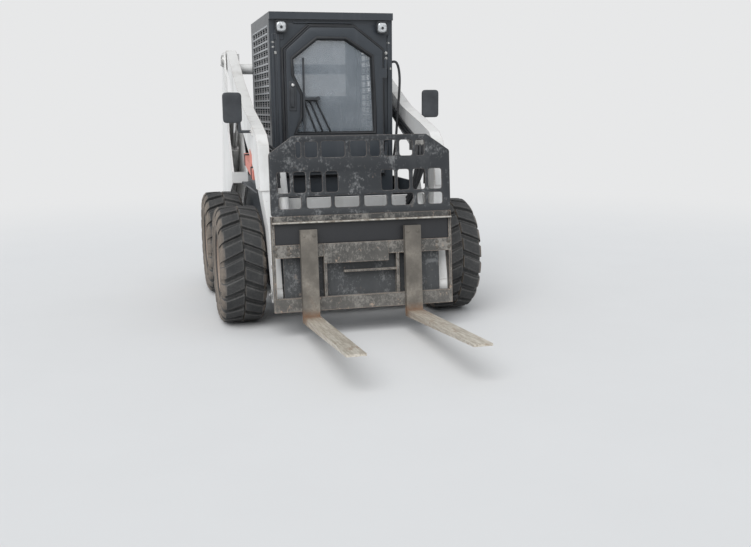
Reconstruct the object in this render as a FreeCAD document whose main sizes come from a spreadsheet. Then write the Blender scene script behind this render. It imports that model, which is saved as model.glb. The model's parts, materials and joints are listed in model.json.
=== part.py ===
"""Skid steer loader with a pallet fork frame, as separate pieces in one shared frame.

Millimetres, +Z up. The machine faces -Y, so +X is its own left side. The ground is z = 0 and the
origin is the middle of the machine's outline on the ground.
"""
import FreeCAD, Part
import math
import os
import re
import Sketcher

V = FreeCAD.Vector
X_AXIS, Y_AXIS, Z_AXIS = V(1, 0, 0), V(0, 1, 0), V(0, 0, 1)

doc = FreeCAD.newDocument("SkidSteerLoader")
sheet = doc.addObject("Spreadsheet::Sheet", "Sizes")

# Sizes
# Each row is a name and its value in millimetres, or in degrees where the name says angle.
# Places along the machine are measured from the front axle, positive to the rear.
SIZES = [
    ("front_axle", -114.0),
    ("wheelbase", 1023.0),
    ("axle_height", 370.0),
    ("tyre_radius", 370.0),
    ("tyre_width", 280.0),
    ("tyre_outer", 838.0),
    ("rim_radius", 210.0),
    ("rim_wall", 8.0),
    ("hub_radius", 62.0),
    ("axle_tube_radius", 60.0),
    ("frame_half", 494.0),
    ("frame_wall", 12.0),
    ("belly_height", 205.0),
    ("frame_top", 860.0),
    ("frame_front", -140.0),
    ("nose_top", 560.0),
    ("frame_rear", 1880.0),
    ("chaincase_inner", 340.0),
    ("fender_outer", 545.0),
    ("tailgate_rear", 1960.0),
    ("tailgate_bottom", 420.0),
    ("tailgate_gap", 8.0),
    ("tailgate_half", 440.0),
    ("tailgate_hinge", 455.0),
    ("knuckle_radius", 10.0),
    ("knuckle_length", 60.0),
    ("knuckle_pin_radius", 5.0),
    ("leaf_wall", 6.0),
    ("pivot_back", 1400.0),
    ("pivot_height", 1700.0),
    ("pivot_pin_radius", 25.0),
    ("running_gap", 0.05),
    ("side_gap", 8.0),
    ("plate_wall", 14.0),
    ("arm_inner", 516.0),
    ("arm_width", 72.0),
    ("hinge_front", 450.0),
    ("hinge_height", 250.0),
    ("hinge_pin_radius", 20.0),
    ("leg_inner", 490.0),
    ("leg_width", 60.0),
    ("lug_radius", 50.0),
    ("cross_tube_back", 1285.0),
    ("cross_tube_height", 1635.0),
    ("cross_tube_radius", 38.0),
    ("beam_front", 195.0),
    ("beam_rear", 140.0),
    ("beam_bottom", 722.0),
    ("beam_top", 792.0),
    ("lift_base_back", 1800.0),
    ("lift_base_height", 610.0),
    ("lift_eye_back", 1040.0),
    ("lift_eye_height", 1370.0),
    ("lift_lug_wall", 12.0),
    ("lift_barrel_radius", 34.0),
    ("lift_barrel_length", 610.0),
    ("lift_bore_start", 50.0),
    ("lift_rod_start", 70.0),
    ("lift_rod_radius", 19.0),
    ("tilt_base_front", 140.0),
    ("tilt_base_height", 1000.0),
    ("tilt_line", 430.0),
    ("tilt_barrel_radius", 30.0),
    ("tilt_barrel_length", 515.0),
    ("tilt_bore_start", 42.0),
    ("tilt_rod_start", 85.0),
    ("tilt_rod_radius", 16.0),
    ("tilt_ear_ahead", -30.0),
    ("tilt_ear_up", 210.0),
    ("tilt_ear_wall", 14.0),
    ("eye_radius", 30.0),
    ("eye_width", 44.0),
    ("eye_pin_radius", 14.0),
    ("lean_angle", 5.3),
    ("coupler_back", 55.0),
    ("coupler_wall", 15.0),
    ("coupler_low", -75.0),
    ("coupler_high", 330.0),
    ("coupler_half", 484.0),
    ("fork_frame_half", 552.0),
    ("fork_frame_depth", 45.0),
    ("fork_frame_low", -100.0),
    ("low_bar", 80.0),
    ("upper_bar_low", 222.0),
    ("upper_bar", 76.0),
    ("end_plate", 16.0),
    ("backrest_low", 425.0),
    ("backrest_high", 930.0),
    ("backrest_wall", 10.0),
    ("backrest_inset", 145.0),
    ("backrest_shoulder", 830.0),
    ("fork_right_line", 340.0),
    ("fork_left_line", 296.0),
    ("fork_width", 100.0),
    ("fork_thick", 40.0),
    ("fork_tip_thick", 12.0),
    ("fork_length", 1117.0),
    ("fork_drop", 168.0),
    ("fork_rise", 385.0),
    ("cab_front", 285.0),
    ("cab_rear", 1200.0),
    ("cab_half", 414.0),
    ("cab_floor", 620.0),
    ("cab_top", 1955.0),
    ("cab_wall", 38.0),
    ("roof_wall", 45.0),
    ("cab_lean", 25.0),
    ("door_thick", 35.0),
    ("door_gap", 6.0),
    ("door_bottom", 900.0),
    ("door_top", 1868.0),
    ("door_hinge", 345.0),
    ("door_free", 325.0),
    ("door_hinge_offset", 11.0),
    ("glass_wall", 6.0),
    ("engine_half", 260.0),
    ("engine_front", 1300.0),
    ("engine_length", 480.0),
    ("engine_height", 620.0),
    ("seat_clearance", 0.3),
    ("seat_half", 235.0),
    ("seat_front", 560.0),
    ("seat_depth", 450.0),
    ("seat_height", 930.0),
    ("seat_back_top", 1400.0),
    ("cushion_thick", 110.0),
    ("grille_wall", 8.0),
    ("grille_bottom", 1150.0),
    ("grille_top", 1880.0),
    ("grille_bar", 12.0),
    ("grille_bars", 16.0),
    ("hood_top", 1285.0),
    ("hood_wall", 10.0),
    ("hood_half", 490.0),
    ("lamp_radius", 40.0),
    ("lamp_across", 338.0),
    ("lamp_height", 1862.0),
    ("tail_lamp_height", 1010.0),
    ("lever_radius", 9.0),
    ("bar_radius", 14.0),
    ("window_low", 1430.0),
    ("window_high", 1850.0),
    ("window_half", 300.0),
]
for row, (name, value) in enumerate(SIZES, start=1):
    sheet.set("A%d" % row, name)
    sheet.set("B%d" % row, "%g" % value)
    sheet.setAlias("B%d" % row, name)
doc.recompute()
NAMES = {name for name, value in SIZES}


def bound(formula):
    """The formula with each size's name written as a cell of the sheet."""
    return re.sub(r"[a-z_]+", lambda m: "Sizes." + m.group() if m.group() in NAMES else m.group(), formula)


def number(formula):
    """What a formula of the sheet's sizes comes to."""
    return float(sheet.evalExpression(bound(formula)))


nodes = {}


def node(label, thing):
    """Gives a finished piece its name, which is also its file's name."""
    thing.Label = label
    nodes[label] = thing
    return thing


def origin_plane(body, role):
    return [feature for feature in body.Origin.OriginFeatures if feature.Role == role][0]


def bound_loop(sketch, points):
    """Draws a closed loop of lines whose corners follow formulas of the sheet."""
    values = [(number(a), number(b)) for a, b in points]
    first = sketch.GeometryCount
    count = len(points)
    for i in range(count):
        start, end = values[i], values[(i + 1) % count]
        sketch.addGeometry(Part.LineSegment(V(start[0], start[1], 0), V(end[0], end[1], 0)), False)
    for i in range(count):
        sketch.addConstraint(Sketcher.Constraint("Coincident", first + i, 2, first + (i + 1) % count, 1))
    for i, (formulas, numbers) in enumerate(zip(points, values)):
        for kind, formula, value in zip(("DistanceX", "DistanceY"), formulas, numbers):
            index = sketch.addConstraint(Sketcher.Constraint(kind, -1, 1, first + i, 1, value))
            sketch.setExpression("Constraints[%d]" % index, bound(formula))


def bound_circle(sketch, centre, radius):
    """Draws a circle whose centre and radius follow formulas of the sheet."""
    place = [number(formula) for formula in centre]
    index = sketch.addGeometry(Part.Circle(V(place[0], place[1], 0), Z_AXIS, number(radius)), False)
    for kind, formula, value in zip(("DistanceX", "DistanceY"), centre, place):
        row = sketch.addConstraint(Sketcher.Constraint(kind, -1, 1, index, 3, value))
        sketch.setExpression("Constraints[%d]" % row, bound(formula))
    row = sketch.addConstraint(Sketcher.Constraint("Radius", index, number(radius)))
    sketch.setExpression("Constraints[%d]" % row, bound(radius))


def pad(label, plane, start, length, outline, holes=(), circles=(), rounds=()):
    """A profile padded from start, with holes in it and chosen corners rounded.

    The plane YZ pads towards +X, XZ towards -Y and XY towards +Z.
    """
    body = doc.addObject("PartDesign::Body", label)
    sketch = body.newObject("Sketcher::SketchObject", label + "_profile")
    sketch.AttachmentSupport = [(origin_plane(body, plane + "_Plane"), "")]
    sketch.MapMode = "FlatFace"
    sketch.setExpression("AttachmentOffset.Base.z", bound(start))
    bound_loop(sketch, outline)
    for hole in holes:
        bound_loop(sketch, hole)
    for centre, radius in circles:
        bound_circle(sketch, centre, radius)
    feature = body.newObject("PartDesign::Pad", label + "_pad")
    feature.Profile = sketch
    feature.setExpression("Length", bound(length))
    if rounds:
        doc.recompute()
        for radius, corners in rounds:
            round_corners(body, label, plane, radius, corners)
    return body


def round_corners(body, label, plane, radius, corners):
    """Rounds the edges of a padded body that stand on the given corners of its profile."""
    shape = body.Tip.Shape
    picked = []
    for index, edge in enumerate(shape.Edges, start=1):
        ends = [vertex.Point for vertex in edge.Vertexes]
        if len(ends) != 2:
            continue
        flat = [{"YZ": (p.y, p.z), "XZ": (p.x, p.z), "XY": (p.x, p.y)}[plane] for p in ends]
        for a, b in corners:
            spot = (number(a), number(b))
            if all(math.dist(point, spot) < 0.01 for point in flat):
                picked.append("Edge%d" % index)
    fillet = body.newObject("PartDesign::Fillet", label + "_rounds")
    fillet.Base = (body.Tip, picked)
    fillet.setExpression("Radius", bound(radius))
    body.Tip = fillet
    doc.recompute()


def box(label, x_from, x_to, y_from, y_to, z_from, z_to):
    """A plain block between six formulas."""
    solid = doc.addObject("Part::Box", label)
    solid.setExpression("Length", bound("(%s) - (%s)" % (x_to, x_from)))
    solid.setExpression("Width", bound("(%s) - (%s)" % (y_to, y_from)))
    solid.setExpression("Height", bound("(%s) - (%s)" % (z_to, z_from)))
    for axis, formula in zip("xyz", (x_from, y_from, z_from)):
        solid.setExpression("Placement.Base." + axis, bound(formula))
    return solid


TURNS = {
    "X": FreeCAD.Rotation(Y_AXIS, 90),
    "Y": FreeCAD.Rotation(X_AXIS, -90),
    "Z": FreeCAD.Rotation(Z_AXIS, 0),
}


def rod(label, axis, start, length, radius):
    """A round bar from a start point along +X, +Y or +Z."""
    solid = doc.addObject("Part::Cylinder", label)
    solid.setExpression("Radius", bound(radius))
    solid.setExpression("Height", bound(length))
    solid.Placement = FreeCAD.Placement(V(*[number(f) for f in start]), TURNS[axis])
    for letter, formula in zip("xyz", start):
        solid.setExpression("Placement.Base." + letter, bound(formula))
    return solid


def fuse(label, things):
    joined = doc.addObject("Part::MultiFuse", label)
    joined.Shapes = things
    joined.Refine = True
    return joined


def cut(label, base, tools):
    """The base with the tools taken away."""
    tool = tools[0] if len(tools) == 1 else fuse(label + "_tools", tools)
    part = doc.addObject("Part::Cut", label)
    part.Base = base
    part.Tool = tool
    part.Refine = True
    return part


def group(label, things):
    """Like pieces that don't touch, kept as one node."""
    bundle = doc.addObject("Part::Compound", label)
    bundle.Links = things
    return bundle


def mirrored(label, thing):
    """The same piece on the other side of the machine."""
    twin = doc.addObject("Part::Mirroring", label)
    twin.Source = thing
    twin.Base = V(0, 0, 0)
    twin.Normal = X_AXIS
    return twin


def both_sides(label, thing):
    return group(label, [thing, mirrored(label + "_twin", thing)])


def shaped(label, shape):
    """A piece whose shape is worked out from the sheet's values."""
    feature = doc.addObject("Part::Feature", label)
    feature.Shape = shape
    return feature


def back(formula):
    """A place along the machine, measured from the front axle."""
    return "front_axle + (%s)" % formula


def side_points(rows):
    """Corners seen from the side: back from the front axle, and up from the ground."""
    return [(back(a), b) for a, b in rows]


# Wheels
def tyre(label, side, axle):
    """One tyre, turned about its axle."""
    radius, width = number("tyre_radius"), number("tyre_width")
    bead, wall = number("rim_radius"), number("rim_wall")
    half = width / 2
    shoulder, bulge = radius - 40, half - 12
    profile = [(bead, -half + 20), (bead + 40, -half), (shoulder - 45, -half), (shoulder, -bulge),
               (radius, -bulge + 20), (radius, bulge - 20), (shoulder, bulge), (shoulder - 45, half),
               (bead + 40, half), (bead, half - 20)]
    wire = Part.makePolygon([V(b, 0, a) for a, b in profile + profile[:1]])
    solid = Part.Face(wire).revolve(V(0, 0, 0), X_AXIS, 360)
    centre = side * (number("tyre_outer") - half)
    solid.translate(V(centre, axle, number("axle_height")))
    return node(label, shaped(label, solid))


def rim(label, side, axle):
    """One rim: a barrel in the tyre, a dished disc and its hub."""
    half = number("tyre_width") / 2
    outer = number("rim_radius") - number("seat_clearance")
    wall, hub = number("rim_wall"), number("hub_radius")
    dish = 30
    profile = [(outer, -half + 22), (outer, half - 22), (outer - wall, half - 22), (outer - wall, dish + wall),
               (hub + 60, dish + wall), (hub + 30, 52), (hub, 52), (hub, 80), (0, 80), (0, -60),
               (hub, -60), (hub, dish), (outer - wall, dish), (outer - wall, -half + 22)]
    wire = Part.makePolygon([V(b, 0, a) for a, b in profile + profile[:1]])
    solid = Part.Face(wire).revolve(V(0, 0, 0), X_AXIS, 360)
    if side < 0:
        solid = solid.mirror(V(0, 0, 0), X_AXIS)
    centre = side * (number("tyre_outer") - half)
    solid.translate(V(centre, axle, number("axle_height")))
    return node(label, shaped(label, solid))


WHEELS = [
    # name, side of the machine, place of its axle
    ("front_right", -1, "0"),
    ("front_left", 1, "0"),
    ("rear_right", -1, "wheelbase"),
    ("rear_left", 1, "wheelbase"),
]
for name, side, place in WHEELS:
    tyre("tyre_" + name, side, number(back(place)))
    rim("rim_" + name, side, number(back(place)))

# Main frame
frame_side = pad("frame_side", "YZ", "frame_half - frame_wall", "frame_wall", side_points([
    ("frame_front", "belly_height + 90"),
    ("frame_front + 120", "belly_height"),
    ("frame_rear - 250", "belly_height"),
    ("frame_rear", "belly_height + 130"),
    ("frame_rear", "frame_top"),
    ("frame_front + 90", "frame_top"),
    ("frame_front", "nose_top"),
]), circles=[((back("0"), "axle_height"), "axle_tube_radius - 2"),
             ((back("wheelbase"), "axle_height"), "axle_tube_radius - 2")])
inner_half = "frame_half - frame_wall"
belly = box("belly", "-(%s)" % inner_half, inner_half, back("frame_front + 120"), back("frame_rear - 250"),
            "belly_height", "belly_height + frame_wall")
nose = box("nose", "-(%s)" % inner_half, inner_half, back("frame_front + 60"), back("frame_front + 60 + frame_wall"),
           "belly_height + 60", "nose_top")
case = box("chaincase", "chaincase_inner", inner_half, back("frame_front + 120"), back("wheelbase + 140"),
           "belly_height", "cab_floor")
bumper = box("bumper", "-(%s)" % inner_half, inner_half, back("frame_rear - 60"), back("frame_rear"),
             "belly_height + 130", "belly_height + 215")
fender = box("fender", "frame_half - frame_wall", "fender_outer", back("frame_front + 260"), back("wheelbase - 20"),
             "frame_top - 60", "frame_top - 60 + frame_wall")
half_frame = fuse("half_frame", [frame_side, case, fender])
node("main_frame", fuse("main_frame_joined", [half_frame, mirrored("half_frame_twin", half_frame), belly, nose, bumper]))

# Axle tubes, each on its own side of the frame
hub_line = "tyre_outer - tyre_width / 2 - 60"
tubes = []
for name, side, place in WHEELS:
    start = "frame_half - frame_wall + 0.5" if side > 0 else "-(%s) + 0.5" % hub_line
    tube = rod("axle_tube_" + name, "X", (start, back(place), "axle_height"),
               "%s - frame_half + frame_wall - 1" % hub_line, "axle_tube_radius - 2.3")
    tubes.append(tube)
node("axle_tubes", group("axle_tubes_group", tubes))

# Engine, one plain block
node("engine", box("engine_block", "-engine_half", "engine_half", back("engine_front"),
                   back("engine_front + engine_length"), "belly_height + frame_wall + seat_clearance",
                   "belly_height + frame_wall + seat_clearance + engine_height"))

# Rear uprights: an inner and an outer plate with the arm between them
inner_start = "arm_inner - side_gap - plate_wall"
outer_start = "arm_inner + arm_width + side_gap"
inner_plate = pad("upright_inner", "YZ", inner_start, "plate_wall", side_points([
    ("pivot_back - 62", "pivot_height + 50"),
    ("pivot_back + 62", "pivot_height + 50"),
    ("pivot_back + 85", "pivot_height - 20"),
    ("frame_rear", "lift_base_height + 120"),
    ("frame_rear", "lift_base_height - 90"),
    ("frame_rear - 410", "lift_base_height - 90"),
    ("cross_tube_back - 245", "frame_top - 60"),
    ("cross_tube_back - 245", "frame_top + 20"),
    ("cross_tube_back - 20", "frame_top + 300"),
    ("cross_tube_back + 50", "cross_tube_height - 60"),
    ("pivot_back - 62", "pivot_height - 40"),
]))
outer_plate = pad("upright_outer", "YZ", outer_start, "plate_wall", side_points([
    ("pivot_back - 62", "pivot_height + 60"),
    ("pivot_back + 62", "pivot_height + 60"),
    ("pivot_back + 85", "pivot_height - 20"),
    ("frame_rear", "lift_base_height + 120"),
    ("frame_rear", "lift_base_height - 90"),
    ("frame_rear - 410", "lift_base_height - 90"),
    ("frame_rear - 510", "lift_base_height + 60"),
    ("cross_tube_back - 245", "frame_top - 60"),
    ("cross_tube_back - 245", "frame_top + 20"),
    ("cross_tube_back - 20", "frame_top + 300"),
    ("cross_tube_back + 20", "cross_tube_height - 100"),
    ("pivot_back - 85", "pivot_height - 20"),
]))
rear_web = pad("upright_web", "YZ", inner_start + " + plate_wall", "arm_width + 2 * side_gap", side_points([
    ("frame_rear - plate_wall", "lift_base_height - 90"),
    ("frame_rear", "lift_base_height - 90"),
    ("frame_rear", "lift_base_height + 120"),
    ("pivot_back + 160", "pivot_height - 230"),
    ("pivot_back + 160 - plate_wall", "pivot_height - 235"),
    ("frame_rear - plate_wall", "lift_base_height + 116"),
]))
front_web = pad("upright_front", "YZ", inner_start + " + plate_wall", "arm_width + 2 * side_gap", side_points([
    ("cross_tube_back - 245", "frame_top - 60"),
    ("cross_tube_back - 245 + plate_wall", "frame_top - 68"),
    ("cross_tube_back - 245 + plate_wall", "frame_top + 20"),
    ("cross_tube_back - 245", "frame_top + 20"),
]))
upright_span = "arm_width + 2 * side_gap + 2 * plate_wall"
pivot_pin = rod("pivot_pin", "X", (inner_start, back("pivot_back"), "pivot_height"), upright_span,
                "pivot_pin_radius")
lift_base_pin = rod("lift_base_pin", "X", (inner_start, back("lift_base_back"), "lift_base_height"), upright_span,
                    "eye_pin_radius")
upright_left = fuse("upright_left_joined", [inner_plate, outer_plate, rear_web, front_web, pivot_pin,
                                            lift_base_pin])
node("upright_left", upright_left)
node("upright_right", mirrored("upright_right_twin", upright_left))

# Lift arms
arm_web = pad("arm_web", "YZ", "arm_inner", "arm_width", side_points([
    ("pivot_back + 60", "pivot_height - 45"),
    ("pivot_back + 75", "pivot_height + 20"),
    ("pivot_back + 40", "pivot_height + 72"),
    ("pivot_back - 60", "pivot_height + 76"),
    ("850", "1530"),
    ("400", "1350"),
    ("-20", "1243"),
    ("-200", "1190"),
    ("-275", "1130"),
    ("-290", "1060"),
    ("-335", "860"),
    ("-170", "860"),
    ("-80", "968"),
    ("200", "1085"),
    ("550", "1232"),
    ("1040", "1450"),
    ("pivot_back - 60", "pivot_height - 75"),
]), circles=[((back("pivot_back"), "pivot_height"), "pivot_pin_radius + running_gap")])

LEG = [
    # height, front face ahead of the axle, rear face ahead of the axle, inner side, outer side
    ("960", "310", "105", "arm_inner", "arm_inner + arm_width"),
    ("840", "332", "155", "arm_inner - 10", "arm_inner + arm_width - 13"),
    ("620", "382", "232", "leg_inner", "leg_inner + leg_width"),
    ("400", "452", "352", "leg_inner", "leg_inner + leg_width"),
    ("290", "482", "402", "leg_inner", "leg_inner + leg_width"),
]


def leg():
    """The arm's lower leg, set inwards on its way down to the hinge."""
    wires = []
    for row in LEG:
        height, ahead, behind, inner, outer = [number(formula) for formula in row]
        axle = number("front_axle")
        corners = [V(inner, axle - ahead, height), V(outer, axle - ahead, height),
                   V(outer, axle - behind, height), V(inner, axle - behind, height)]
        wires.append(Part.makePolygon(corners + corners[:1]))
    body = Part.makeLoft(wires, True, True)
    centre = V(number("leg_inner"), number(back("-hinge_front")), number("hinge_height"))
    lug = Part.makeCylinder(number("lug_radius"), number("leg_width"), centre, X_AXIS)
    bore = Part.makeCylinder(number("hinge_pin_radius + running_gap"), number("leg_width"), centre, X_AXIS)
    return body.fuse(lug).cut(bore)


arm_leg = shaped("arm_leg", leg())
lift_lugs = []
for name, start in (("inner", "arm_inner"), ("outer", "arm_inner + arm_width - lift_lug_wall")):
    lift_lugs.append(pad("lift_lug_" + name, "YZ", start, "lift_lug_wall", side_points([
        ("lift_eye_back + 90", "lift_eye_height + 130"),
        ("lift_eye_back - 130", "lift_eye_height + 35"),
        ("lift_eye_back - 40", "lift_eye_height - 40"),
        ("lift_eye_back + 40", "lift_eye_height - 40"),
    ])))
tilt_pin = rod("tilt_base_pin", "X", ("tilt_line - eye_width / 2 - 8", back("-tilt_base_front"), "tilt_base_height"),
               "arm_inner - tilt_line + eye_width / 2 + 9", "eye_pin_radius")
arm_left = fuse("arm_left_joined", [arm_web, arm_leg, tilt_pin] + lift_lugs)
node("arm_left", arm_left)
node("arm_right", mirrored("arm_right_twin", arm_left))

node("cross_tube", rod("cross_tube_bar", "X", ("-arm_inner", back("cross_tube_back"), "cross_tube_height"),
                       "2 * arm_inner", "cross_tube_radius"))
beam_bar = box("cross_beam_bar", "-arm_inner", "arm_inner", back("-beam_front"), back("-beam_rear"),
               "beam_bottom", "beam_top")
node("cross_beam", cut("cross_beam_between_arms", beam_bar, [nodes["arm_left"], nodes["arm_right"]]))

# Mirrors on their brackets
MIRRORS = [
    # name, side, middle of its glass across, back from the front axle, middle height, height of its stay
    ("mirror_right", -1, "705", "-60", "1350", "1205"),
    ("mirror_left", 1, "672", "250", "1365", "1280"),
]
for name, side, across, place, height, stay_height in MIRRORS:
    middle = across if side > 0 else "-(%s)" % across
    plate = box(name + "_head", "%s - 58" % middle, "%s + 58" % middle, back("%s - 14" % place),
                back("%s + 14" % place), "%s - 92" % height, "%s + 92" % height)
    near = "arm_inner + arm_width" if side > 0 else "-(%s) + 30" % across
    stay = rod(name + "_stay", "X", (near, back(place), stay_height), "%s - 30 - arm_inner - arm_width" % across, "10")
    stem_across = "%s - 40" % across if side > 0 else "-(%s) + 40" % across
    stem = rod(name + "_stem", "Z", (stem_across, back(place), stay_height), "%s - 80 - %s" % (height, stay_height), "10")
    node(name, fuse(name + "_joined", [plate, stay, stem]))

# Support strut carried under the right arm, and the hose couplers inside the left one
strut_bar = pad("strut_bar", "YZ", "-arm_inner - arm_width - 6", "40", side_points([
    ("-60", "905"), ("390", "990"), ("378", "1052"), ("-72", "967")]))
strut_plate = pad("strut_plate", "YZ", "-arm_inner - arm_width - 6", "6", side_points([
    ("0", "930"), ("70", "930"), ("70", "1090"), ("0", "1060")]))
node("arm_support", fuse("arm_support_joined", [strut_bar, strut_plate]))
coupler_block = box("hose_block", "arm_inner - 110", "arm_inner", back("-215"), back("-135"), "1075", "1135")
coupler_ends = [coupler_block]
for index, across in enumerate(("arm_inner - 85", "arm_inner - 30")):
    coupler_ends.append(rod("hose_end_%d" % index, "Y", (across, back("-255"), "1105"), "60", "17"))
node("hose_couplers", fuse("hose_couplers_joined", coupler_ends))

# Lift and tilt cylinders: barrels on their base pins, rods with eyes on their own pins


def between(start, end):
    """The unit direction from one point to another."""
    direction = end.sub(start)
    direction.normalize()
    return direction


def eye(centre, radius, width, pin_radius):
    """A round eye about a pin that runs across the machine."""
    start = V(centre.x - width / 2, centre.y, centre.z)
    ring = Part.makeCylinder(radius, width, start, X_AXIS)
    return ring, Part.makeCylinder(pin_radius, width, start, X_AXIS)


def barrel(base, top, radius, length, bore_start, rod_radius):
    """A cylinder's barrel with its base eye, open in the middle for the rod."""
    line = between(base, top)
    width = number("eye_width")
    ring, hole = eye(base, number("eye_radius"), width, number("eye_pin_radius + running_gap"))
    shell = Part.makeCylinder(radius, length - 20, base.add(line * 20), line)
    bore = Part.makeCylinder(rod_radius + number("running_gap") * 4, length, base.add(line * bore_start), line)
    return shell.fuse(ring).cut(bore).cut(hole)


def piston_rod(base, top, rod_start, rod_radius, pin_reach):
    """A cylinder's rod, from inside its barrel to an eye with a pin through it."""
    line = between(base, top)
    full = base.distanceToPoint(top)
    width = number("eye_width")
    ring, hole = eye(top, number("eye_radius"), width, number("eye_pin_radius"))
    bar = Part.makeCylinder(rod_radius, full - rod_start - 10, base.add(line * rod_start), line)
    pin = Part.makeCylinder(number("eye_pin_radius"), pin_reach, V(top.x - pin_reach / 2, top.y, top.z), X_AXIS)
    return bar.fuse(ring).fuse(pin)


arm_line = number("arm_inner + arm_width / 2")
lift_base = V(arm_line, number(back("lift_base_back")), number("lift_base_height"))
lift_eye = V(arm_line, number(back("lift_eye_back")), number("lift_eye_height"))
lift_barrel = shaped("lift_barrel_left", barrel(lift_base, lift_eye, number("lift_barrel_radius"),
                                                number("lift_barrel_length"), number("lift_bore_start"),
                                                number("lift_rod_radius")))
node("lift_barrels", both_sides("lift_barrels_pair", lift_barrel))
lift_pin_reach = number("arm_width - 2 * lift_lug_wall - 2 * seat_clearance")
lift_rod = shaped("lift_rod_left", piston_rod(lift_base, lift_eye, number("lift_rod_start"),
                                              number("lift_rod_radius"), lift_pin_reach))
node("lift_rods", both_sides("lift_rods_pair", lift_rod))


def leaned(ahead, up):
    """A point of the fork carriage as it stands: ahead of the hinge pin, and up from it."""
    lean = math.radians(number("lean_angle"))
    front = ahead * math.cos(lean) - up * math.sin(lean)
    rise = ahead * math.sin(lean) + up * math.cos(lean)
    return V(0, number(back("-hinge_front")) - front, number("hinge_height") + rise)


tilt_base = V(number("tilt_line"), number(back("-tilt_base_front")), number("tilt_base_height"))
tilt_eye = leaned(number("tilt_ear_ahead"), number("tilt_ear_up"))
tilt_eye.x = number("tilt_line")
tilt_barrel = shaped("tilt_barrel_left", barrel(tilt_base, tilt_eye, number("tilt_barrel_radius"),
                                                number("tilt_barrel_length"), number("tilt_bore_start"),
                                                number("tilt_rod_radius")))
node("tilt_barrels", both_sides("tilt_barrels_pair", tilt_barrel))
tilt_rod = shaped("tilt_rod_left", piston_rod(tilt_base, tilt_eye, number("tilt_rod_start"),
                                              number("tilt_rod_radius"), number("eye_width")))
node("tilt_rods", both_sides("tilt_rods_pair", tilt_rod))

# Fork carriage
# It is drawn upright about its hinge pin, ahead and up, then leaned back as it stands.


def leaned_place():
    """Where the upright drawing of the carriage goes."""
    hinge = V(0, number(back("-hinge_front")), number("hinge_height"))
    return FreeCAD.Placement(hinge, FreeCAD.Rotation(X_AXIS, -number("lean_angle")))


def carriage(label, thing):
    """Leans a finished carriage piece back about the hinge pin."""
    holder = group(label + "_leaned", [thing])
    holder.Placement = leaned_place()
    return node(label, holder)


frame_back = "coupler_back + coupler_wall"
frame_face = frame_back + " + fork_frame_depth"
plate_box = box("coupler_face", "-coupler_half", "coupler_half", "-(%s)" % frame_back, "-coupler_back",
                "coupler_low", "coupler_high")
ear_outline = [("-coupler_back", "-45"), ("-coupler_back", "70"), ("10", "40"), ("38", "0"), ("20", "-38")]
hinge_ear = pad("hinge_ear", "YZ", "leg_inner - 28", "22", ear_outline)
hinge_pin = rod("hinge_pin", "X", ("leg_inner - 28", "0", "0"), "28 + leg_width + 4", "hinge_pin_radius")
tilt_ears = []
for name, start in (("inner", "tilt_line - eye_width / 2 - seat_clearance - tilt_ear_wall"),
                    ("outer", "tilt_line + eye_width / 2 + seat_clearance")):
    tilt_ears.append(pad("tilt_ear_" + name, "YZ", start, "tilt_ear_wall", [
        ("-coupler_back", "tilt_ear_up - 55"), ("-coupler_back", "tilt_ear_up + 45"),
        ("-tilt_ear_ahead + 12", "tilt_ear_up + 30"), ("-tilt_ear_ahead + 26", "tilt_ear_up"),
        ("-tilt_ear_ahead + 12", "tilt_ear_up - 30")]))
half_ears = fuse("coupler_ears", [hinge_ear, hinge_pin] + tilt_ears)
carriage("coupler", fuse("coupler_joined", [plate_box, half_ears, mirrored("coupler_ears_twin", half_ears)]))

low_bar = box("low_bar_bar", "-fork_frame_half", "fork_frame_half", "-(%s)" % frame_face, "-(%s)" % frame_back,
              "fork_frame_low", "fork_frame_low + low_bar")
upper_bar = box("upper_bar_bar", "-fork_frame_half", "fork_frame_half", "-(%s)" % frame_face, "-(%s)" % frame_back,
                "upper_bar_low", "upper_bar_low + upper_bar")
ends = []
for name, start in (("right", "-fork_frame_half"), ("left", "fork_frame_half - end_plate")):
    ends.append(box("end_" + name, start, start + " + end_plate", "-(%s)" % frame_face, "-(%s)" % frame_back,
                    "fork_frame_low", "backrest_low + 40"))
carriage("fork_frame", fuse("fork_frame_joined", [low_bar, upper_bar] + ends))

backrest = pad("backrest_plate", "XZ", frame_face + " - backrest_wall", "backrest_wall", [
    ("-fork_frame_half", "backrest_low + 40.3"), ("fork_frame_half", "backrest_low + 40.3"),
    ("fork_frame_half", "backrest_shoulder"), ("fork_frame_half - backrest_inset", "backrest_high"),
    ("-fork_frame_half + backrest_inset", "backrest_high"), ("-fork_frame_half", "backrest_shoulder")])
carriage("backrest", backrest)

FORKS = [("fork_right", "-fork_right_line"), ("fork_left", "fork_left_line")]
for name, line in FORKS:
    fork = pad(name + "_bar", "YZ", "%s - fork_width / 2" % line, "fork_width", [
        ("-(%s)" % frame_face, "fork_rise"),
        ("-(%s) - fork_thick" % frame_face, "fork_rise"),
        ("-(%s) - fork_thick" % frame_face, "-fork_drop + fork_thick"),
        ("-(%s) - fork_thick - fork_length" % frame_face, "-fork_drop + fork_tip_thick"),
        ("-(%s) - fork_thick - fork_length" % frame_face, "-fork_drop"),
        ("-(%s)" % frame_face, "-fork_drop"),
    ])
    carriage(name, fork)

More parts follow.
